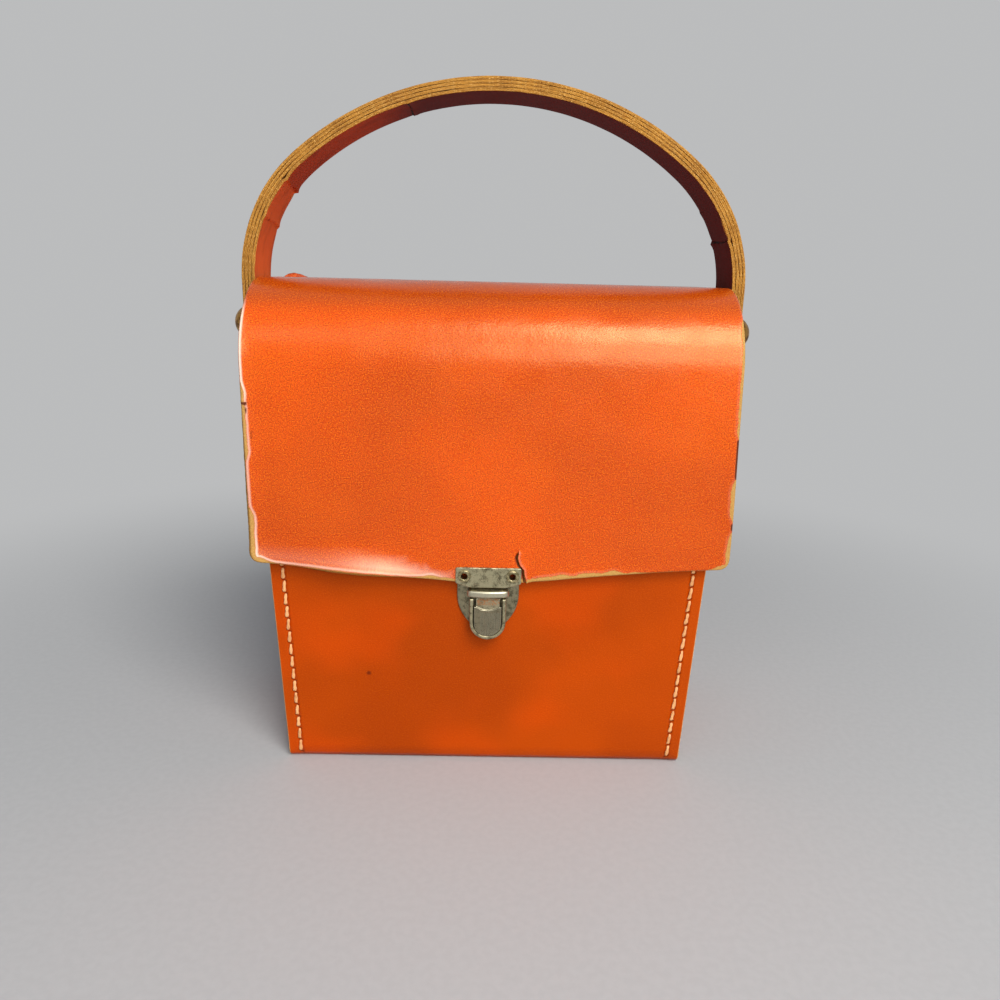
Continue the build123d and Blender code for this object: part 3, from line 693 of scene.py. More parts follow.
def leather_sheet(name, loops, bend, thick, edge, materials, step=3.0, soft=None, notes=(),
                  finish_depth=0.9, extra=(), jitter=0.1):
    """A closed leather sheet: flat loops, bent to shape, with worn and rounded edges.

    bend(u, v, depth) gives the place in millimetres, soft(u, v) how much of the edge's
    rounding a point has, and each of notes a value of (u, v) for the materials to read.
    """
    loops = [np.array([tuple(p) for p in loop], float) for loop in loops]
    profile = edge_profile(thick, *edge)
    outs = [normals_of(loop) for loop in loops]
    softs = [np.array([soft(*p) if soft else 1.0 for p in loop])[:, None] for loop in loops]
    top = [loop - out * profile[0][0] * s for loop, out, s in zip(loops, outs, softs)]
    flat_points = np.concatenate(top + [inner_points(loops, step, extra)])
    edges = []
    for loop in loops:
        edges += ring_pairs(len(loop), len(edges))
    found = delaunay_2d_cdt([Vector(p) for p in flat_points], edges, [], 0, 1e-6, True)
    places, triangles, origins = found[0], found[2], found[3]
    flat_points = np.array([tuple(p) for p in places])
    where = {ids[0]: k for k, ids in enumerate(origins) if ids}
    middles = flat_points[np.array(triangles)].mean(1)
    kept = [tuple(tri) for tri, ok in zip(triangles, inside(middles, top)) if ok]

    count = len(flat_points)
    points = [(u, v, depth) for depth in (0.0, thick) for u, v in flat_points]
    faces = kept + [tuple(k + count for k in reversed(tri)) for tri in kept]
    kinds = [0] * len(kept) + [2] * len(kept)
    base = 0
    for loop, out, s in zip(loops, outs, softs):
        size = len(loop)
        rings = [[where[base + k] for k in range(size)]]
        for inset, depth in profile[1:-1]:
            rough = [wave(u * 1.7, v * 1.7, depth * 2.5) for u, v in loop]
            raw = jitter * min(1.0, max(0.0, depth - finish_depth)) * np.array(rough)[:, None]
            rings.append(range(len(points), len(points) + size))
            points += [(u, v, depth) for u, v in loop - out * (inset - raw) * s]
        rings.append([k + count for k in rings[0]])
        for level, (upper, lower) in enumerate(zip(rings, rings[1:])):
            faces += [(lower[k], lower[n], upper[n], upper[k]) for k, n in ring_pairs(size)]
            shallow = (profile[level][1] + profile[level + 1][1]) / 2 < finish_depth
            kinds += [0 if shallow else 1] * size
        base += size

    made = build(name, [bend(*p) for p in points], faces, *materials)
    made.data.polygons.foreach_set("material_index", kinds)
    note(made, "flat", points)
    note(made, "rim", distance_to(np.array(points)[:, :2], loops))
    for key, value in dict(notes).items():
        note(made, key, [value(u, v) for u, v, depth in points])
    made.data.set_sharp_from_angle(angle=radians(50))
    return made


def near(u, v, spot):
    """More than 1 at the middle of a spot (u, v, radius along u, along v), and 0 well beyond it."""
    distance = hypot((u - spot[0]) / spot[2], (v - spot[1]) / spot[3])
    return max(0.0, 1.25 - distance)


def run_distance(u, v, points):
    """Distance to an open run of points, and the side of it on which (u, v) lies."""
    best = (1e9, 1)
    for (u0, v0), (u1, v1) in zip(points, points[1:]):
        length = (u1 - u0) ** 2 + (v1 - v0) ** 2
        t = min(1.0, max(0.0, ((u - u0) * (u1 - u0) + (v - v0) * (v1 - v0)) / length))
        gap = hypot(u - u0 - t * (u1 - u0), v - v0 - t * (v1 - v0))
        if gap < best[0]:
            best = (gap, 1 if (u1 - u0) * (v - v0) > (v1 - v0) * (u - u0) else -1)
    return best


def lift_beside(u, v, points, height, reach):
    """A torn lip: the sheet stands up on the left of a run and dies away beyond a reach."""
    gap, hand = run_distance(u, v, points)
    return (1.0 if hand > 0 else -0.3) * height * exp(-(gap / reach) ** 2)


def ease(value, low, high):
    """Smooth step from 0 at low to 1 at high."""
    share = min(1.0, max(0.0, (value - low) / (high - low)))
    return share * share * (3 - 2 * share)


def within(v, low, high, soft=3.0):
    """1 between low and high, with soft ends."""
    return ease(v, low - soft, low + soft) * ease(v, high + soft, high - soft)


# Wear that the photo shows on the flap, as points (u, v) of the flat sheet
TEAR = [(15.6, 86.6), (14.8, 91.2), (14.6, 93.2), (12.8, 95.5), (11.8, 98.5), (12.6, 101.8)]
TEAR_WIDTH = 0.7
EDGE_CRACK = [(-101.0, 161.2), (-97.6, 161.4), (-93.4, 160.2)]
# Worn spots: (u, v, radius along u, radius along v)
FLAP_CHIP = (100.6, 197.5, 2.2, 2.6)
HINGE_CHIP = (-98.0, V_HINGE + 9, 6.0, 3.0)
# Bare bands along the flap's edges: (lowest v, highest v, width), with dark stretches apart
LEFT_BARE = [(139.0, 168.0, 1.3), (90.0, 117.0, 1.8)]
RIGHT_BARE = [(152.0, 199.0, 1.4), (117.0, 133.0, 2.1), (90.0, 110.0, 2.0)]
RIGHT_DARK = [(134.0, 151.0), (112.0, 115.5)]
LEFT_DARK = (147.0, 160.0)
# How far the lid's front fold and the top of the flap take to reach the flap's own width
SIDE_RUN = 56.0
# The lid's top is painted darker than the flap, as painted shade, from just above the fold's shine
TOP_SHADE_FROM = 196.0
# Curl of the flap's edges, how far it reaches in, and how far the corners have set to the right
CURL_LEFT = 1.9
CURL_LOW = 5.0
CURL_RIGHT = 0.7
FLAP_SET = 1.4
SIDE_REACH = 6.5
LOW_REACH = 13.0
EDGE_R = 0.75
WAVE = 0.3
# A stain on the body's front: (u, v, radius)
DARK_SPOT = (-51.7, V_RIM - FRONT_RIM + 42.2, 1.5)
# The peeled sliver: its place on the lid, length along v, shift along u, height and thickness
SLIVER_X = -98.0
SLIVER_START = V_LID + 42.0
SLIVER_LENGTH = 9.0
SLIVER_SHIFT = 8.0
SLIVER_RISE = 1.7
SLIVER_THICK = 0.25
# A value for the distance to the raw edge where a piece has none
NO_EDGE = 9.0


def by_side(u, v):
    """True where the flap's side edge is nearer than its lower edge."""
    return FRONT_HALF - abs(u) < v - flap_edge(u)


def by_tear(u, v):
    """True where the tear is nearer than the flap's lower edge."""
    return run_distance(u, v, TEAR)[0] < v - flap_edge(u)


def bare_band(u, v):
    """Width of the bare tan band along the nearest edge of the flap."""
    if by_side(u, v):
        bands = LEFT_BARE if u < 0 else RIGHT_BARE
        uneven = 0.85 + 0.4 * wave(u / 20, v / 5, 2.0)
        return max(width * within(v, low, high) for low, high, width in bands) * uneven
    if by_tear(u, v):
        return 0.0
    near_clasp = 2.0 * ease(u, -38, -20) if u < 0 else 2.3 * ease(u, 76, 44)
    corner = 1.9 * ease(abs(u), 88, 97)
    uneven = 0.8 + 0.6 * wave(u / 5.5, 1.0, 7.0)
    return max(0.35, near_clasp, corner) * uneven


def rub_and_sheen(u, v):
    """How strong the painted highlight line beside the flap's edge is, a pale rubbed finish in part."""
    gap, hand = run_distance(u, v, TEAR[::-1])
    if gap < 2.2:
        return 0.12 * ease(gap, 2.2, 1.0) if hand > 0 else 0.0
    if by_side(u, v):
        if u > 0:
            return 0.05 * ease(v, V_LID, V_LID - 40)
        top = ease(v, V_LID - 22, V_LID - 34)
        return (0.45 + 0.5 * ease(v, 158, 172) + 0.3 * ease(v, 118, 98)) * top
    if u > 0:
        return 0.0 if by_tear(u, v) else 0.08 * ease(u, 70, 30)
    return 0.6 * ease(u, -16, -24) * (0.7 + 0.3 * ease(abs(u), 78, 94))


def painted_low_sheen(u, v):
    """How strong the painted highlight is along the curled left half of the flap's lower edge."""
    if u > 0:
        return 0.0
    above = v - flap_edge(u)
    inside_band = ease(above, 4.0 + 5.0 * ease(u, -14, -44), 1.0) * ease(above, 0.6, 2.0)
    return 0.42 * inside_band * ease(u, -13, -17) * (1 - 0.75 * ease(u, -44, -70))


def flap_crack(u, v):
    """Share of dark crack: the tear, the crack at the left edge and the dark stretches."""
    crack = 1.2 - run_distance(u, v, EDGE_CRACK)[0] / 0.35
    crack = max(0.0, crack, 1.2 - run_distance(u + 0.5, v, TEAR)[0] / 0.5)
    inset = FRONT_HALF - abs(u)
    if inset < 3 and u > 0:
        dark = max(within(v, low, high, 1.5) for low, high in RIGHT_DARK)
        crack = max(crack, dark * ease(inset, 1.3, 0.5))
    if inset < 4 and u < 0:
        beside = abs(inset - 1.4 - (LEFT_DARK[1] - v) * 0.09)
        crack = max(crack, within(v, *LEFT_DARK, 2.0) * ease(beside, 0.7, 0.2))
    return min(crack, 1.0)


FLAP_NOTES = {
    "worn": lambda u, v: near(u, v, FLAP_CHIP),
    "crack": flap_crack,
    "band": bare_band,
    # Painted highlight line beside the edges, a rubbed finish in part
    "rub_sheen": rub_and_sheen,
    # Painted highlight on the curled lower edge
    "low_sheen": painted_low_sheen,
    # Painted shade on the lid's top
    "top_shade": lambda u, v: ease(v, TOP_SHADE_FROM, TOP_SHADE_FROM + 12),
}


def flap_edge(u):
    """Height of the flap's lower edge: straight to the clasp, with a slight bow."""
    away = abs(u)
    if away < HASP_HALF:
        share = max(0.0, (away - HASP_NECK_HALF) / (HASP_HALF - HASP_NECK_HALF))
        return FLAP_POINT_Z + share * (FLAP_CLASP_Z - FLAP_POINT_Z)
    share = (away - HASP_HALF) / (FRONT_HALF - HASP_HALF)
    return FLAP_CLASP_Z + share * (FLAP_SIDE_Z - FLAP_CLASP_Z) + 1.0 * sin(pi * share)


def edge_curl(u, v):
    """The flap's edges turn outwards: most at the left and along the left half of the bottom."""
    reach = SIDE_REACH + (LOW_REACH - SIDE_REACH) * ease(u, -14, -26)
    beside = max(0.0, 1 - (FRONT_HALF - abs(u)) / SIDE_REACH)
    below = max(0.0, 1 - (v - flap_edge(u)) / reach)
    if u < 0:
        side_curl = CURL_LEFT * (0.5 + 0.5 * ease(v, 175, 115)) * ease(v, V_LID - 16, V_LID - 46)
        low_curl = CURL_LOW * ease(u, -12, -60) * (1 - 0.62 * ease(u, -60, -92))
    else:
        side_curl = 0.35 * CURL_RIGHT * ease(v, V_LID - 20, V_LID - 50)
        low_curl = CURL_RIGHT * (0.4 + 0.6 * ease(u, 80, 50)) * ease(u, 18, 26)
    return side_curl * beside ** 2 + low_curl * below ** 2


def lid_lift(u, v):
    """How far the lid's leather stands off its nominal face."""
    calm = min(1.0, (V_HINGE - v) / 12)
    lift = WAVE * (wave(u / 52, v / 40, 0.0) + 0.3 * wave(u / 17, v / 15, 5.0)) * calm
    lift += edge_curl(u, v)
    if abs(u - 14) < 12:
        lift += lift_beside(u, v, TEAR[::-1], 0.85, 2.0)
    if u < -88 and abs(v - EDGE_CRACK[0][1]) < 12:
        lift += lift_beside(u, v, EDGE_CRACK, 0.3, 1.6) * ease(u, -90, -95)
    return lift


def on_strip(u, v, depth, lift=0.0, lean=(0.0, 0.0)):
    """A point of a strip; lean is how fast the lift grows along u and v, and tips the thickness."""
    (y, z), out = STRIP.at(v)
    face = Vector((0, out.x, out.y))
    onward = Vector((0, out.y, -out.x))
    inward = (face - Vector((lean[0], 0, 0)) - onward * lean[1]).normalized()
    return Vector((u, y, z)) + face * lift - inward * depth


def flap_set(u, v):
    """The hanging flap has set a little to the right, except where the clasp holds it."""
    return FLAP_SET * ease(abs(u), 30, 92) * ease(v, 185, 105)


def on_lid(u, v, depth):
    lift = lid_lift(u, v)
    if v > V_HINGE - 14:
        return on_strip(u, v, depth, lift)
    step = 0.4
    lean = ((lid_lift(u + step, v) - lid_lift(u - step, v)) / (2 * step),
            (lid_lift(u, v + step) - lid_lift(u, v - step)) / (2 * step))
    lean = [max(-0.7, min(0.7, k)) for k in lean]
    return on_strip(u, v, depth, lift, lean) + Vector((flap_set(u, v), 0, 0))


def mirrored(corners):
    """The same corners on the other side, in the order that carries an outline on."""
    return [(-u, v, radius) for u, v, radius in reversed(corners)]


def lid_loop():
    """Outline of the lid and flap, with the tear beside the clasp."""
    half = lid_half(FLAP_FACE)
    bottom = [(u, flap_edge(u), 0) for u in range(-90, 91, 6) if abs(u) > HASP_HALF + 2]
    left = [corner for corner in bottom if corner[0] < 0]
    right = [corner for corner in bottom if corner[0] > 0]
    clasp = [(-HASP_HALF, FLAP_CLASP_Z, 0), (-HASP_NECK_HALF, FLAP_POINT_Z, 0)]
    slit = TEAR_WIDTH / 2
    foot = (TEAR[0][0], flap_edge(TEAR[0][0]))
    run = [foot] + TEAR[1:-1]
    tear = [(u - slit, v, 0) for u, v in run] + [(*TEAR[-1], 0)]
    tear += [(u + slit, v, 0) for u, v in run[:0:-1]] + [(foot[0] + slit + 0.3, foot[1], 0)]
    side = [(half, FLAP_SIDE_Z, FLAP_CORNER_R), (half, V_LID - SIDE_RUN, 0)]
    side += [(lid_half(LID_FLAT_Y), V_LID, 0), (lid_half(FOLD_Y), V_HINGE, 0)]
    other = mirrored(side)
    corners = other[-1:] + left + clasp + mirrored(clasp) + tear + right[1:] + side + other[:-1]
    return rounded(corners, OUTLINE_STEP)


def lid_soft(u, v):
    """The rounding of the lid's edge stops where the sheet goes on, and is less at the tear."""
    if v > V_HINGE - 0.01:
        return 0.0
    if run_distance(u, v, TEAR)[0] < 1.0 or hypot(abs(u) - EYELET_X, v - EYELET_Z) < 2.5:
        return 0.12
    return min(1.0, max(0.05, (V_HINGE - v) / 4))


def ring_hole(u, v, radius, count=16):
    """Outline of a punched hole, which runs the other way round than the sheet's own outline."""
    angles = [-2 * pi * k / count for k in range(count)]
    return [Vector((u + radius * cos(a), v + radius * sin(a))) for a in angles]


def make_lid():
    holes = [ring_hole(side * EYELET_X, EYELET_Z, EYELET_HOLE_R) for side in (-1, 1)]
    made = leather_sheet(
        "lid_flap", [lid_loop()] + holes, on_lid, LEATHER, (EDGE_R, 0.5),
        [FLAP_SKIN, RAW, UNDERSIDE], soft=lid_soft, notes=FLAP_NOTES, finish_depth=0.35,
    )
    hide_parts("lid_leather")
    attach(made, "lid")


def make_sliver():
    """A thin peeled shaving of the finish that curls up at the lid's left side."""
    rows, across = 14, 4
    points = []
    for row in range(rows + 1):
        t = row / rows
        v = SLIVER_START + SLIVER_LENGTH * t
        arch = sin(pi * t)
        wide = 2.6 * sin(pi * min(0.95, max(0.12, t))) + 0.3
        rise = SLIVER_RISE * arch ** 0.9 + 0.5 * wave(t * 4, 3.0, 0.0) * arch
        for k in range(across + 1):
            s = k / across
            u = SLIVER_X + (s - 0.5) * wide + SLIVER_SHIFT * t
            points.append((u, v, lid_lift(u, v) + max(0.0, rise) * (1 - s) ** 1.5))
    count = len(points)
    wide = across + 1
    faces = []
    for a in [row * wide + k for row in range(rows) for k in range(across)]:
        quad = (a, a + 1, a + 1 + wide, a + wide)
        faces += [quad, tuple(n + count for n in reversed(quad))]
    border = list(range(across)) + [row * wide + across for row in range(rows)]
    border += [count - 1 - k for k in range(across)] + [(rows - row) * wide for row in range(rows)]
    for k, n in ring_pairs(len(border)):
        a, b = border[k], border[n]
        faces.append((b, a, a + count, b + count))
    solid = [(u, v, lift + SLIVER_THICK) for u, v, lift in points] + points
    places = [on_strip(u, v, 0.0, lift) for u, v, lift in solid]
    made = build("peeled_sliver", places, faces, FLAP_SKIN)
    note(made, "flat", solid)
    note(made, "rim", [NO_EDGE] * len(solid))
    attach(made, "lid")


def make_hinge():
    """Leather bend between the lid and the back panel, which works as the hinge."""
    right = [(lid_half(FOLD_Y), V_HINGE, 0), (lid_half(BACK), V_BACK, 0)]
    left = mirrored(right)
    made = leather_sheet(
        "hinge_leather", [rounded(left[1:] + right + left[:1], OUTLINE_STEP)], on_strip,
        LEATHER, (EDGE_R, 0.5), [FLAP_SKIN, RAW, UNDERSIDE], step=2.0,
        soft=lambda u, v: 0.0 if min(v - V_HINGE, V_BACK - v) < 0.01 else 0.05,
        notes={"worn": lambda u, v: near(u, v, HINGE_CHIP)},
    )
    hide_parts("hinge_fold")
    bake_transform(made)


def body_half(v):
    (y, z), out = STRIP.at(v)
    return side_x(y, z)


def body_lift(u, v):
    """How far the body's leather stands off its nominal face, which sinks in the middle."""
    (y, z), out = STRIP.at(v)
    calm = min(1.0, max(0.0, (z - 12) / 20)) * min(1.0, max(0.0, (v - V_BACK) / 10))
    return calm * (0.25 * wave(u / 60, v / 55, 11.0) - 0.3 * max(0.0, 1 - abs(u) / 90))


def make_body():
    """Back, base and front of the case in one bent strip, with its sewn edges."""
    count = 30
    stations = [V_BACK + (V_RIM - V_BACK) * k / count for k in range(count + 1)]
    corners = [(body_half(v), v, 0) for v in stations]
    dyes = (BODY_ORANGE, BODY_DEEP, ORANGE)
    skin = finished_leather("body_finish", dyes, PLAIN_GLOSS, BODY_SHINE, BODY_DOTS, sewn)
    made = leather_sheet(
        "body_strip", [rounded(corners + mirrored(corners), 1.5)],
        lambda u, v, depth: on_strip(u, v, depth, body_lift(u, v)),
        LEATHER, (0.6, 0.3), [skin, RAW, UNDERSIDE], step=4.0,
        soft=lambda u, v: 0.0 if v < V_BACK + 0.01 else 1.0,
        notes={"side": lambda u, v: body_half(v) - abs(u)},
    )
    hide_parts("body_wrap")
    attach(made, "case")


# Cracks across the inside of the strap: where each meets the front edge and the rear edge, as
# a distance along the strap, how high its lip stands, and how wide the dark line is
FIRST_CRACK = 112.5
BLACK_CUT = 177.4
CRACK_LEAN = -0.15
STRAP_CRACKS = [
    (114.8, 110.6, 1.1, 0.25),
    (95.6, 91.4, 0.6, 0.2),
    (BLACK_CUT - 0.1, BLACK_CUT + 0.1, 0.5, 0.65),
    (343.6, 343.2, 0.9, 0.6),
    (326.5, 328.0, 0.3, 0.3),
]
# Chips on the inner face's edges, as (u, v, radius along u, radius along v)
STRAP_CHIPS = [
    (-14.0, 338.0, 2.6, 5.6),
    (-14.0, 318.0, 1.8, 2.6),
    (-14.0, 171.0, 0.9, 3.0),
    (14.0, 109.0, 2.6, 2.4),
]
# The strap's layers from the outside in: the scene's name, the frame's node and its slot
STRAP_PLIES = [
    ("strap_outer_ply", "handle_outer_ply", "strap_leather"),
    ("strap_core_outer_ply", "handle_core_ply_outer", "strap_core"),
    ("strap_core_inner_ply", "handle_core_ply_inner", "strap_core"),
    ("strap_inner_ply", "handle_inner_ply", "strap_inner"),
]


def strap_cracks():
    """Cracks as runs of points on the flat strap, with their height and width."""
    half = STRAP_WIDTH / 2 + 1
    runs = []
    for front, rear, height, width in STRAP_CRACKS:
        middle = (front + rear) / 2
        run = [(-half, front), (-4.0, middle + 0.7), (5.0, middle + 0.3), (half, rear)]
        runs.append((run, height, width))
    return runs


def stud_distance():
    """How far along the strap's outer face the left stud sits."""
    steps = [STRAP_PATH.length / 4 * k / 800 for k in range(801)]
    return max(v for v in steps if STRAP_PATH.at(v)[0].y <= STUD_Z)


def ply_loop(number):
    """Outline of one layer, with its own uneven cut edge."""
    length = STRAP_PATH.length
    half = STRAP_WIDTH / 2
    arc = 12
    steps = int((length - 2 * half) / 1.6)
    run = [half + (length - 2 * half) * k / steps for k in range(1, steps)]

    def cap(middle, turn):
        angles = [turn + pi * k / arc for k in range(arc + 1)]
        return [Vector((half * cos(a), middle + half * sin(a))) for a in angles]

    def edge(v, row):
        return half + 0.28 * wave(v / 9, number * 7.3, row) - 0.12

    right = [Vector((edge(v, 1.0), v)) for v in run]
    left = [Vector((-edge(v, 9.0), v)) for v in reversed(run)]
    return cap(half, pi) + right + cap(length - half, 0.0) + left


def make_ply(number):
    """One layer of the strap; the inner one carries the cracks and chips."""
    name, node, slot = STRAP_PLIES[number]
    length = STRAP_PATH.length
    half = STRAP_WIDTH / 2
    inner = number == PLIES - 1
    turn = -1 if inner else 1
    runs = strap_cracks() if inner else []
    stud_v = stud_distance()
    holes = [ring_hole(0.0, v, RIVET_R) for v in (half, length - half)]
    holes += [ring_hole(0.0, v, STUD_SHANK_R, 12) for v in (stud_v, length - stud_v)]

    def bend(u, v, depth):
        (x, z), out = STRAP_PATH.at(v)
        lift = 0.0
        for run, height, width in runs:
            if abs(v - run[1][1]) < 12:
                lift += lift_beside(u, v, run, height * (0.5 + 0.5 * ease(u, 0, half)), 2.2)
        sunk = STRAP - depth + lift if inner else number * PLY + depth
        return Vector((x - out.x * sunk, STRAP_Y - turn * u, z - out.y * sunk))

    def crack(u, v):
        lines = [1.2 - run_distance(u, v, run)[0] / width for run, height, width in runs]
        return min(1.0, max(0.0, *lines))

    def worn(u, v):
        torn = max(0.0, wave(v / 6, 2.2, 0.0) + 0.15)
        edge = torn * max(0.0, 1 - (half - abs(u)) / 1.1) * 1.5
        return min(1.2, max([edge] + [near(u, v, chip) for chip in STRAP_CHIPS]))

    extra = []
    for run, height, width in runs:
        for (u0, v0), (u1, v1) in zip(run, run[1:]):
            for t in (0.0, 0.25, 0.5, 0.75):
                u = u0 + t * (u1 - u0)
                v = v0 + t * (v1 - v0)
                extra += [(u, v + shift) for shift in (-0.25, 0.25, -0.8, 0.8)]
    top, under = RAW_STRAP, RAW_STRAP
    if number in (0, PLIES - 1):
        top, under = STRAP_INNER if inner else STRAP_SKIN, UNDERSIDE
    made = leather_sheet(
        name, [ply_loop(number)] + holes, bend, PLY, (0.3, 0.16), [top, RAW_STRAP, under],
        notes={"worn": worn, "crack": crack} if inner else (),
        finish_depth=0.03, extra=extra, jitter=0.28,
    )
    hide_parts(node)
    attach(made, "handle")


def make_stitches(name, node, face, outward, side, top, seed):
    """A row of twisted stitches that dive into the leather at both ends."""
    chance = random.Random(seed)
    count = 1 + int((top - SEAM_END - STITCH_LENGTH / 2 - FIRST_STITCH) / STITCH_PITCH)
    points, faces = [], []
    rings, spokes = 12, 8
    for number in range(count):
        z = FIRST_STITCH + number * STITCH_PITCH
        middle = side * (side_x(face, z) - SEAM_INSET)
        slant = -STITCH_SLANT * outward + chance.uniform(-0.08, 0.08)
        long = STITCH_LENGTH * chance.uniform(0.98, 1.08)
        fat = chance.uniform(0.94, 1.1)
        twist = chance.uniform(0, pi)
        start = len(points)
        for ring in range(rings + 1):
            t = ring / rings * 2 - 1
            along = t * long / 2
            x = middle + side * TAPER * along + slant * t * 0.8
            arch = 0.42 * (1 - t ** 4) - 0.5 * t ** 8
            for spoke in range(spokes):
                angle = 2 * pi * spoke / spokes
                lobe = 1 + 0.16 * cos(2 * (angle - twist) - t * 5.5)
                radius = STITCH_R * fat * lobe * (1 - 0.4 * t ** 4) * (1 - 0.18 * t)
                rise = min(arch - 0.1 + 0.78 * radius * sin(angle), STITCH_R)
                points.append((x + 1.12 * radius * cos(angle), face + outward * rise, z + along))
        rows = [ring_pairs(spokes, start + ring * spokes) for ring in range(rings)]
        shell = [(a, b, b + spokes, a + spokes) for row in rows for a, b in row]
        shell.append(tuple(range(start + spokes - 1, start - 1, -1)))
        shell.append(tuple(range(start + rings * spokes, len(points))))
        faces += shell if outward < 0 else [corners[::-1] for corners in shell]
    made = build(name, points, faces, THREAD)
    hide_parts(node)
    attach(made, "case")


def dress(material, *names):
    """Give CAD nodes their finish."""
    for name in names:
        slots = frame["nodes"][name].data.materials
        slots.clear()
        slots.append(material)


def make_spring(material):
    """The button's leaf spring, a copy of the frame's node with its own finish."""
    node = frame["nodes"]["button_spring"]
    mesh = node.data.copy()
    mesh.transform(node.matrix_world)
    mesh.materials.clear()
    mesh.materials.append(material)
    made = add("leaf_spring", mesh)
    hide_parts("button_spring")
    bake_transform(made)


# The photograph's view, fitted to the case's corners: lens, place, and turns in degrees
LENS = 30.29
CAMERA_PLACE = (-1.478, -385.57, 212.5)
PITCH, YAW, ROLL = 14.866, 0.949, 1.435


def make_camera():
    data = bpy.data.cameras.new("photo_view")
    data.lens = LENS
    data.sensor_width = 36.0
    data.clip_start = 0.01
    pitch, yaw, roll = radians(PITCH), radians(YAW), radians(ROLL)
    ahead = Vector((sin(yaw) * cos(pitch), cos(yaw) * cos(pitch), -sin(pitch)))
    level = Vector((cos(yaw), -sin(yaw), 0))
    over = level.cross(ahead)
    right = cos(roll) * level + sin(roll) * over
    up = -sin(roll) * level + cos(roll) * over
    camera = add("photo_view", data)
    turn = Matrix((right, up, -ahead)).transposed().to_4x4()
    camera.matrix_world = Matrix.Translation(Vector(CAMERA_PLACE) * MM) @ turn
    bpy.context.scene.camera = camera


# Lamps: name, place and aim in metres, size, power and tint
LAMPS = [
    ("window", (0.445, -0.98, 1.26), (0.05, -0.04, 0.19), (0.74, 0.66), 17.8, (1.0, 0.98, 0.95)),
    ("low_window", (0.42, -1.42, 0.66), (0.0, -0.03, 0.13), (0.9, 0.7), 11.0, (1.0, 0.97, 0.94)),
    ("fill", (-0.5, -1.1, 1.0), (0.0, 0.0, 0.15), (0.5, 0.5), 1.2, (0.95, 0.97, 1.0)),
]
# The floor's tones, half width in millimetres, and distances in metres where it fades away
FLOOR_TONES = ((0.485, 0.49, 0.495, 1.0), (0.505, 0.51, 0.515, 1.0))
FLOOR_HALF = 12000.0
FADE = (0.17, 0.55)
# Light from all round
SKY = (0.86, 0.92, 1.0, 1.0)
SKY_STRENGTH = 0.27


def make_lamp(name, place, aim, size, power, tint):
    data = bpy.data.lights.new(name, "AREA")
    data.shape = "RECTANGLE"
    data.size, data.size_y = size
    data.energy = power
    data.color = tint
    made = add(name, data)
    made.location = place
    made.rotation_euler = (Vector(aim) - Vector(place)).to_track_quat("-Z", "Y").to_euler()


def make_floor():
    """Pale floor that fades into the background."""
    look = Look("pale_floor", Roughness=0.75, Specular_IOR_Level=0.2)
    tone = look.mix(look.span(look.noise(3.0, 3.0), 0.3, 0.7), *FLOOR_TONES)
    look.plug(look.main.inputs["Base Color"], tone)
    glow = look.node("Emission", {"Color": PALE})
    place = look.node("NewGeometry").outputs["Position"]
    away = look.node("VectorMath", {0: place}, operation="LENGTH").outputs["Value"]
    share = look.times(look.span(away, *FADE), look.seen())
    look.show("Material Output", share, look.main.outputs[0], glow.outputs[0])
    corners = [(-1, -1), (1, -1), (1, 1), (-1, 1)]
    points = [(x * FLOOR_HALF, y * FLOOR_HALF, 0) for x, y in corners]
    floor = build("floor", points, [(0, 1, 2, 3)], look.material)


def make_sky():
    """Soft light from all round, and a pale background where the camera looks past the floor."""
    world = bpy.data.worlds.new("studio")
    bpy.context.scene.world = world
    sky = Nodes(world)
    ambient = sky.tree.nodes["Background"]
    ambient.inputs["Color"].default_value = SKY
    ambient.inputs["Strength"].default_value = SKY_STRENGTH
    pale = sky.node("Background", {"Color": PALE})
    sky.show("World Output", sky.seen(), ambient.outputs[0], pale.outputs[0])


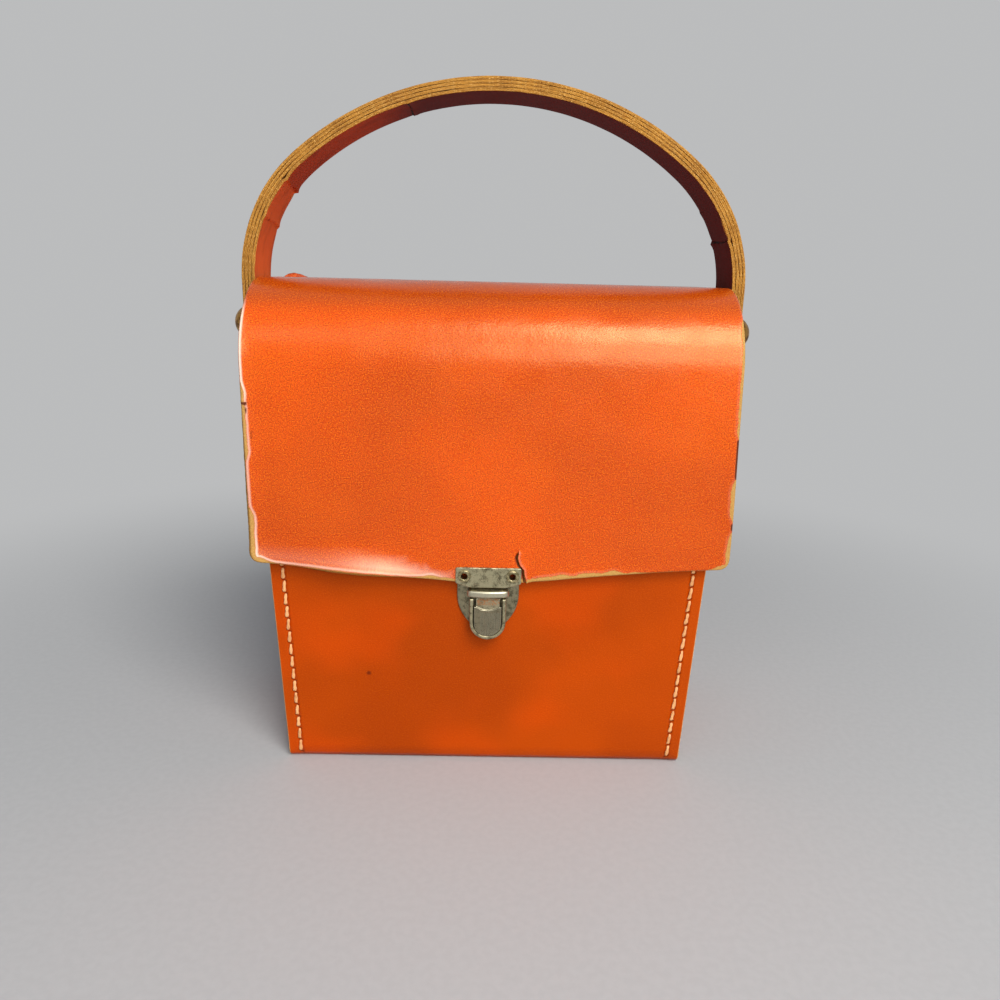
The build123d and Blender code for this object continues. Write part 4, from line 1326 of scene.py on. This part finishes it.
make_camera()
make_floor()
make_sky()
for lamp in LAMPS:
    make_lamp(*lamp)
bpy.context.scene.view_settings.view_transform = "Standard"

RAW = raw_edge("cut_edge")
RAW_STRAP = raw_edge("strap_cut_edge", plies=True)
UNDERSIDE = flesh_side("flesh_side")
DYES = (ORANGE, ORANGE_DEEP, ORANGE_PALE)
STRAP_SKIN = finished_leather("strap_finish", DYES, PLAIN_GLOSS, 0.4, 0.3)
STRAP_INNER = strap_inside("strap_inner_finish")
FLAP_SKIN = finished_leather("flap_finish", DYES, FLAP_GLOSS)
make_lid()
make_sliver()
make_hinge()
make_body()
for ply in range(PLIES):
    make_ply(ply)
THREAD = thread_material()
SEAMS = (("front", FRONT, -1, FRONT_RIM), ("back", BACK, 1, FOLD_Z))
for seed, (place, face, outward, top) in enumerate(SEAMS):
    for hand, side in (("left", -1), ("right", 1)):
        row = f"{place}_{hand}"
        make_stitches(f"thread_{row}", f"stitches_{row}", face, outward, side, top, seed * 2 + side)
dress(gusset_leather(), "gusset_left", "gusset_right")
dress(old_metal("clasp_plate_metal", "BDB592", "5C5642"), "hasp_plate", "hasp_backing_plate", "button_pin")
dress(old_metal("catch_metal", "9C9478", "4E4938", raised=FRONT - 2.4), "catch_plate", "catch_backing_plate")
dress(old_metal("button_metal", "978E74", "554E3C", rust=0.8), "clasp_button")
make_spring(old_metal("spring_metal", "8C8C8A", "4C4C4A"))
rivet_parts = [f"handle_{part}_{hand}" for part in ("rivet", "spacer", "burr") for hand in ("left", "right")]
dress(old_metal("rivet_metal", "B0A98E", "5E594B"), *rivet_parts)
dress(old_brass("eyelet_brass", "BDB088", "6E6648"), "hasp_eyelets")
dress(old_brass("stud_brass", "B98A44", "6E481C", 2.6), "handle_stud_left", "handle_stud_right")
dress(lining_paper(), "wrap_lining", "gusset_lining_left", "gusset_lining_right", "lid_lining")
dress(board_paper("stiff_board", "8D8372", "5C5346"), "front_board", "back_board", "base_board")
dress(board_paper("divider_board", "9C7A4C", "6B5030"), "divider_left", "divider_right")

bpy.context.view_layer.update()
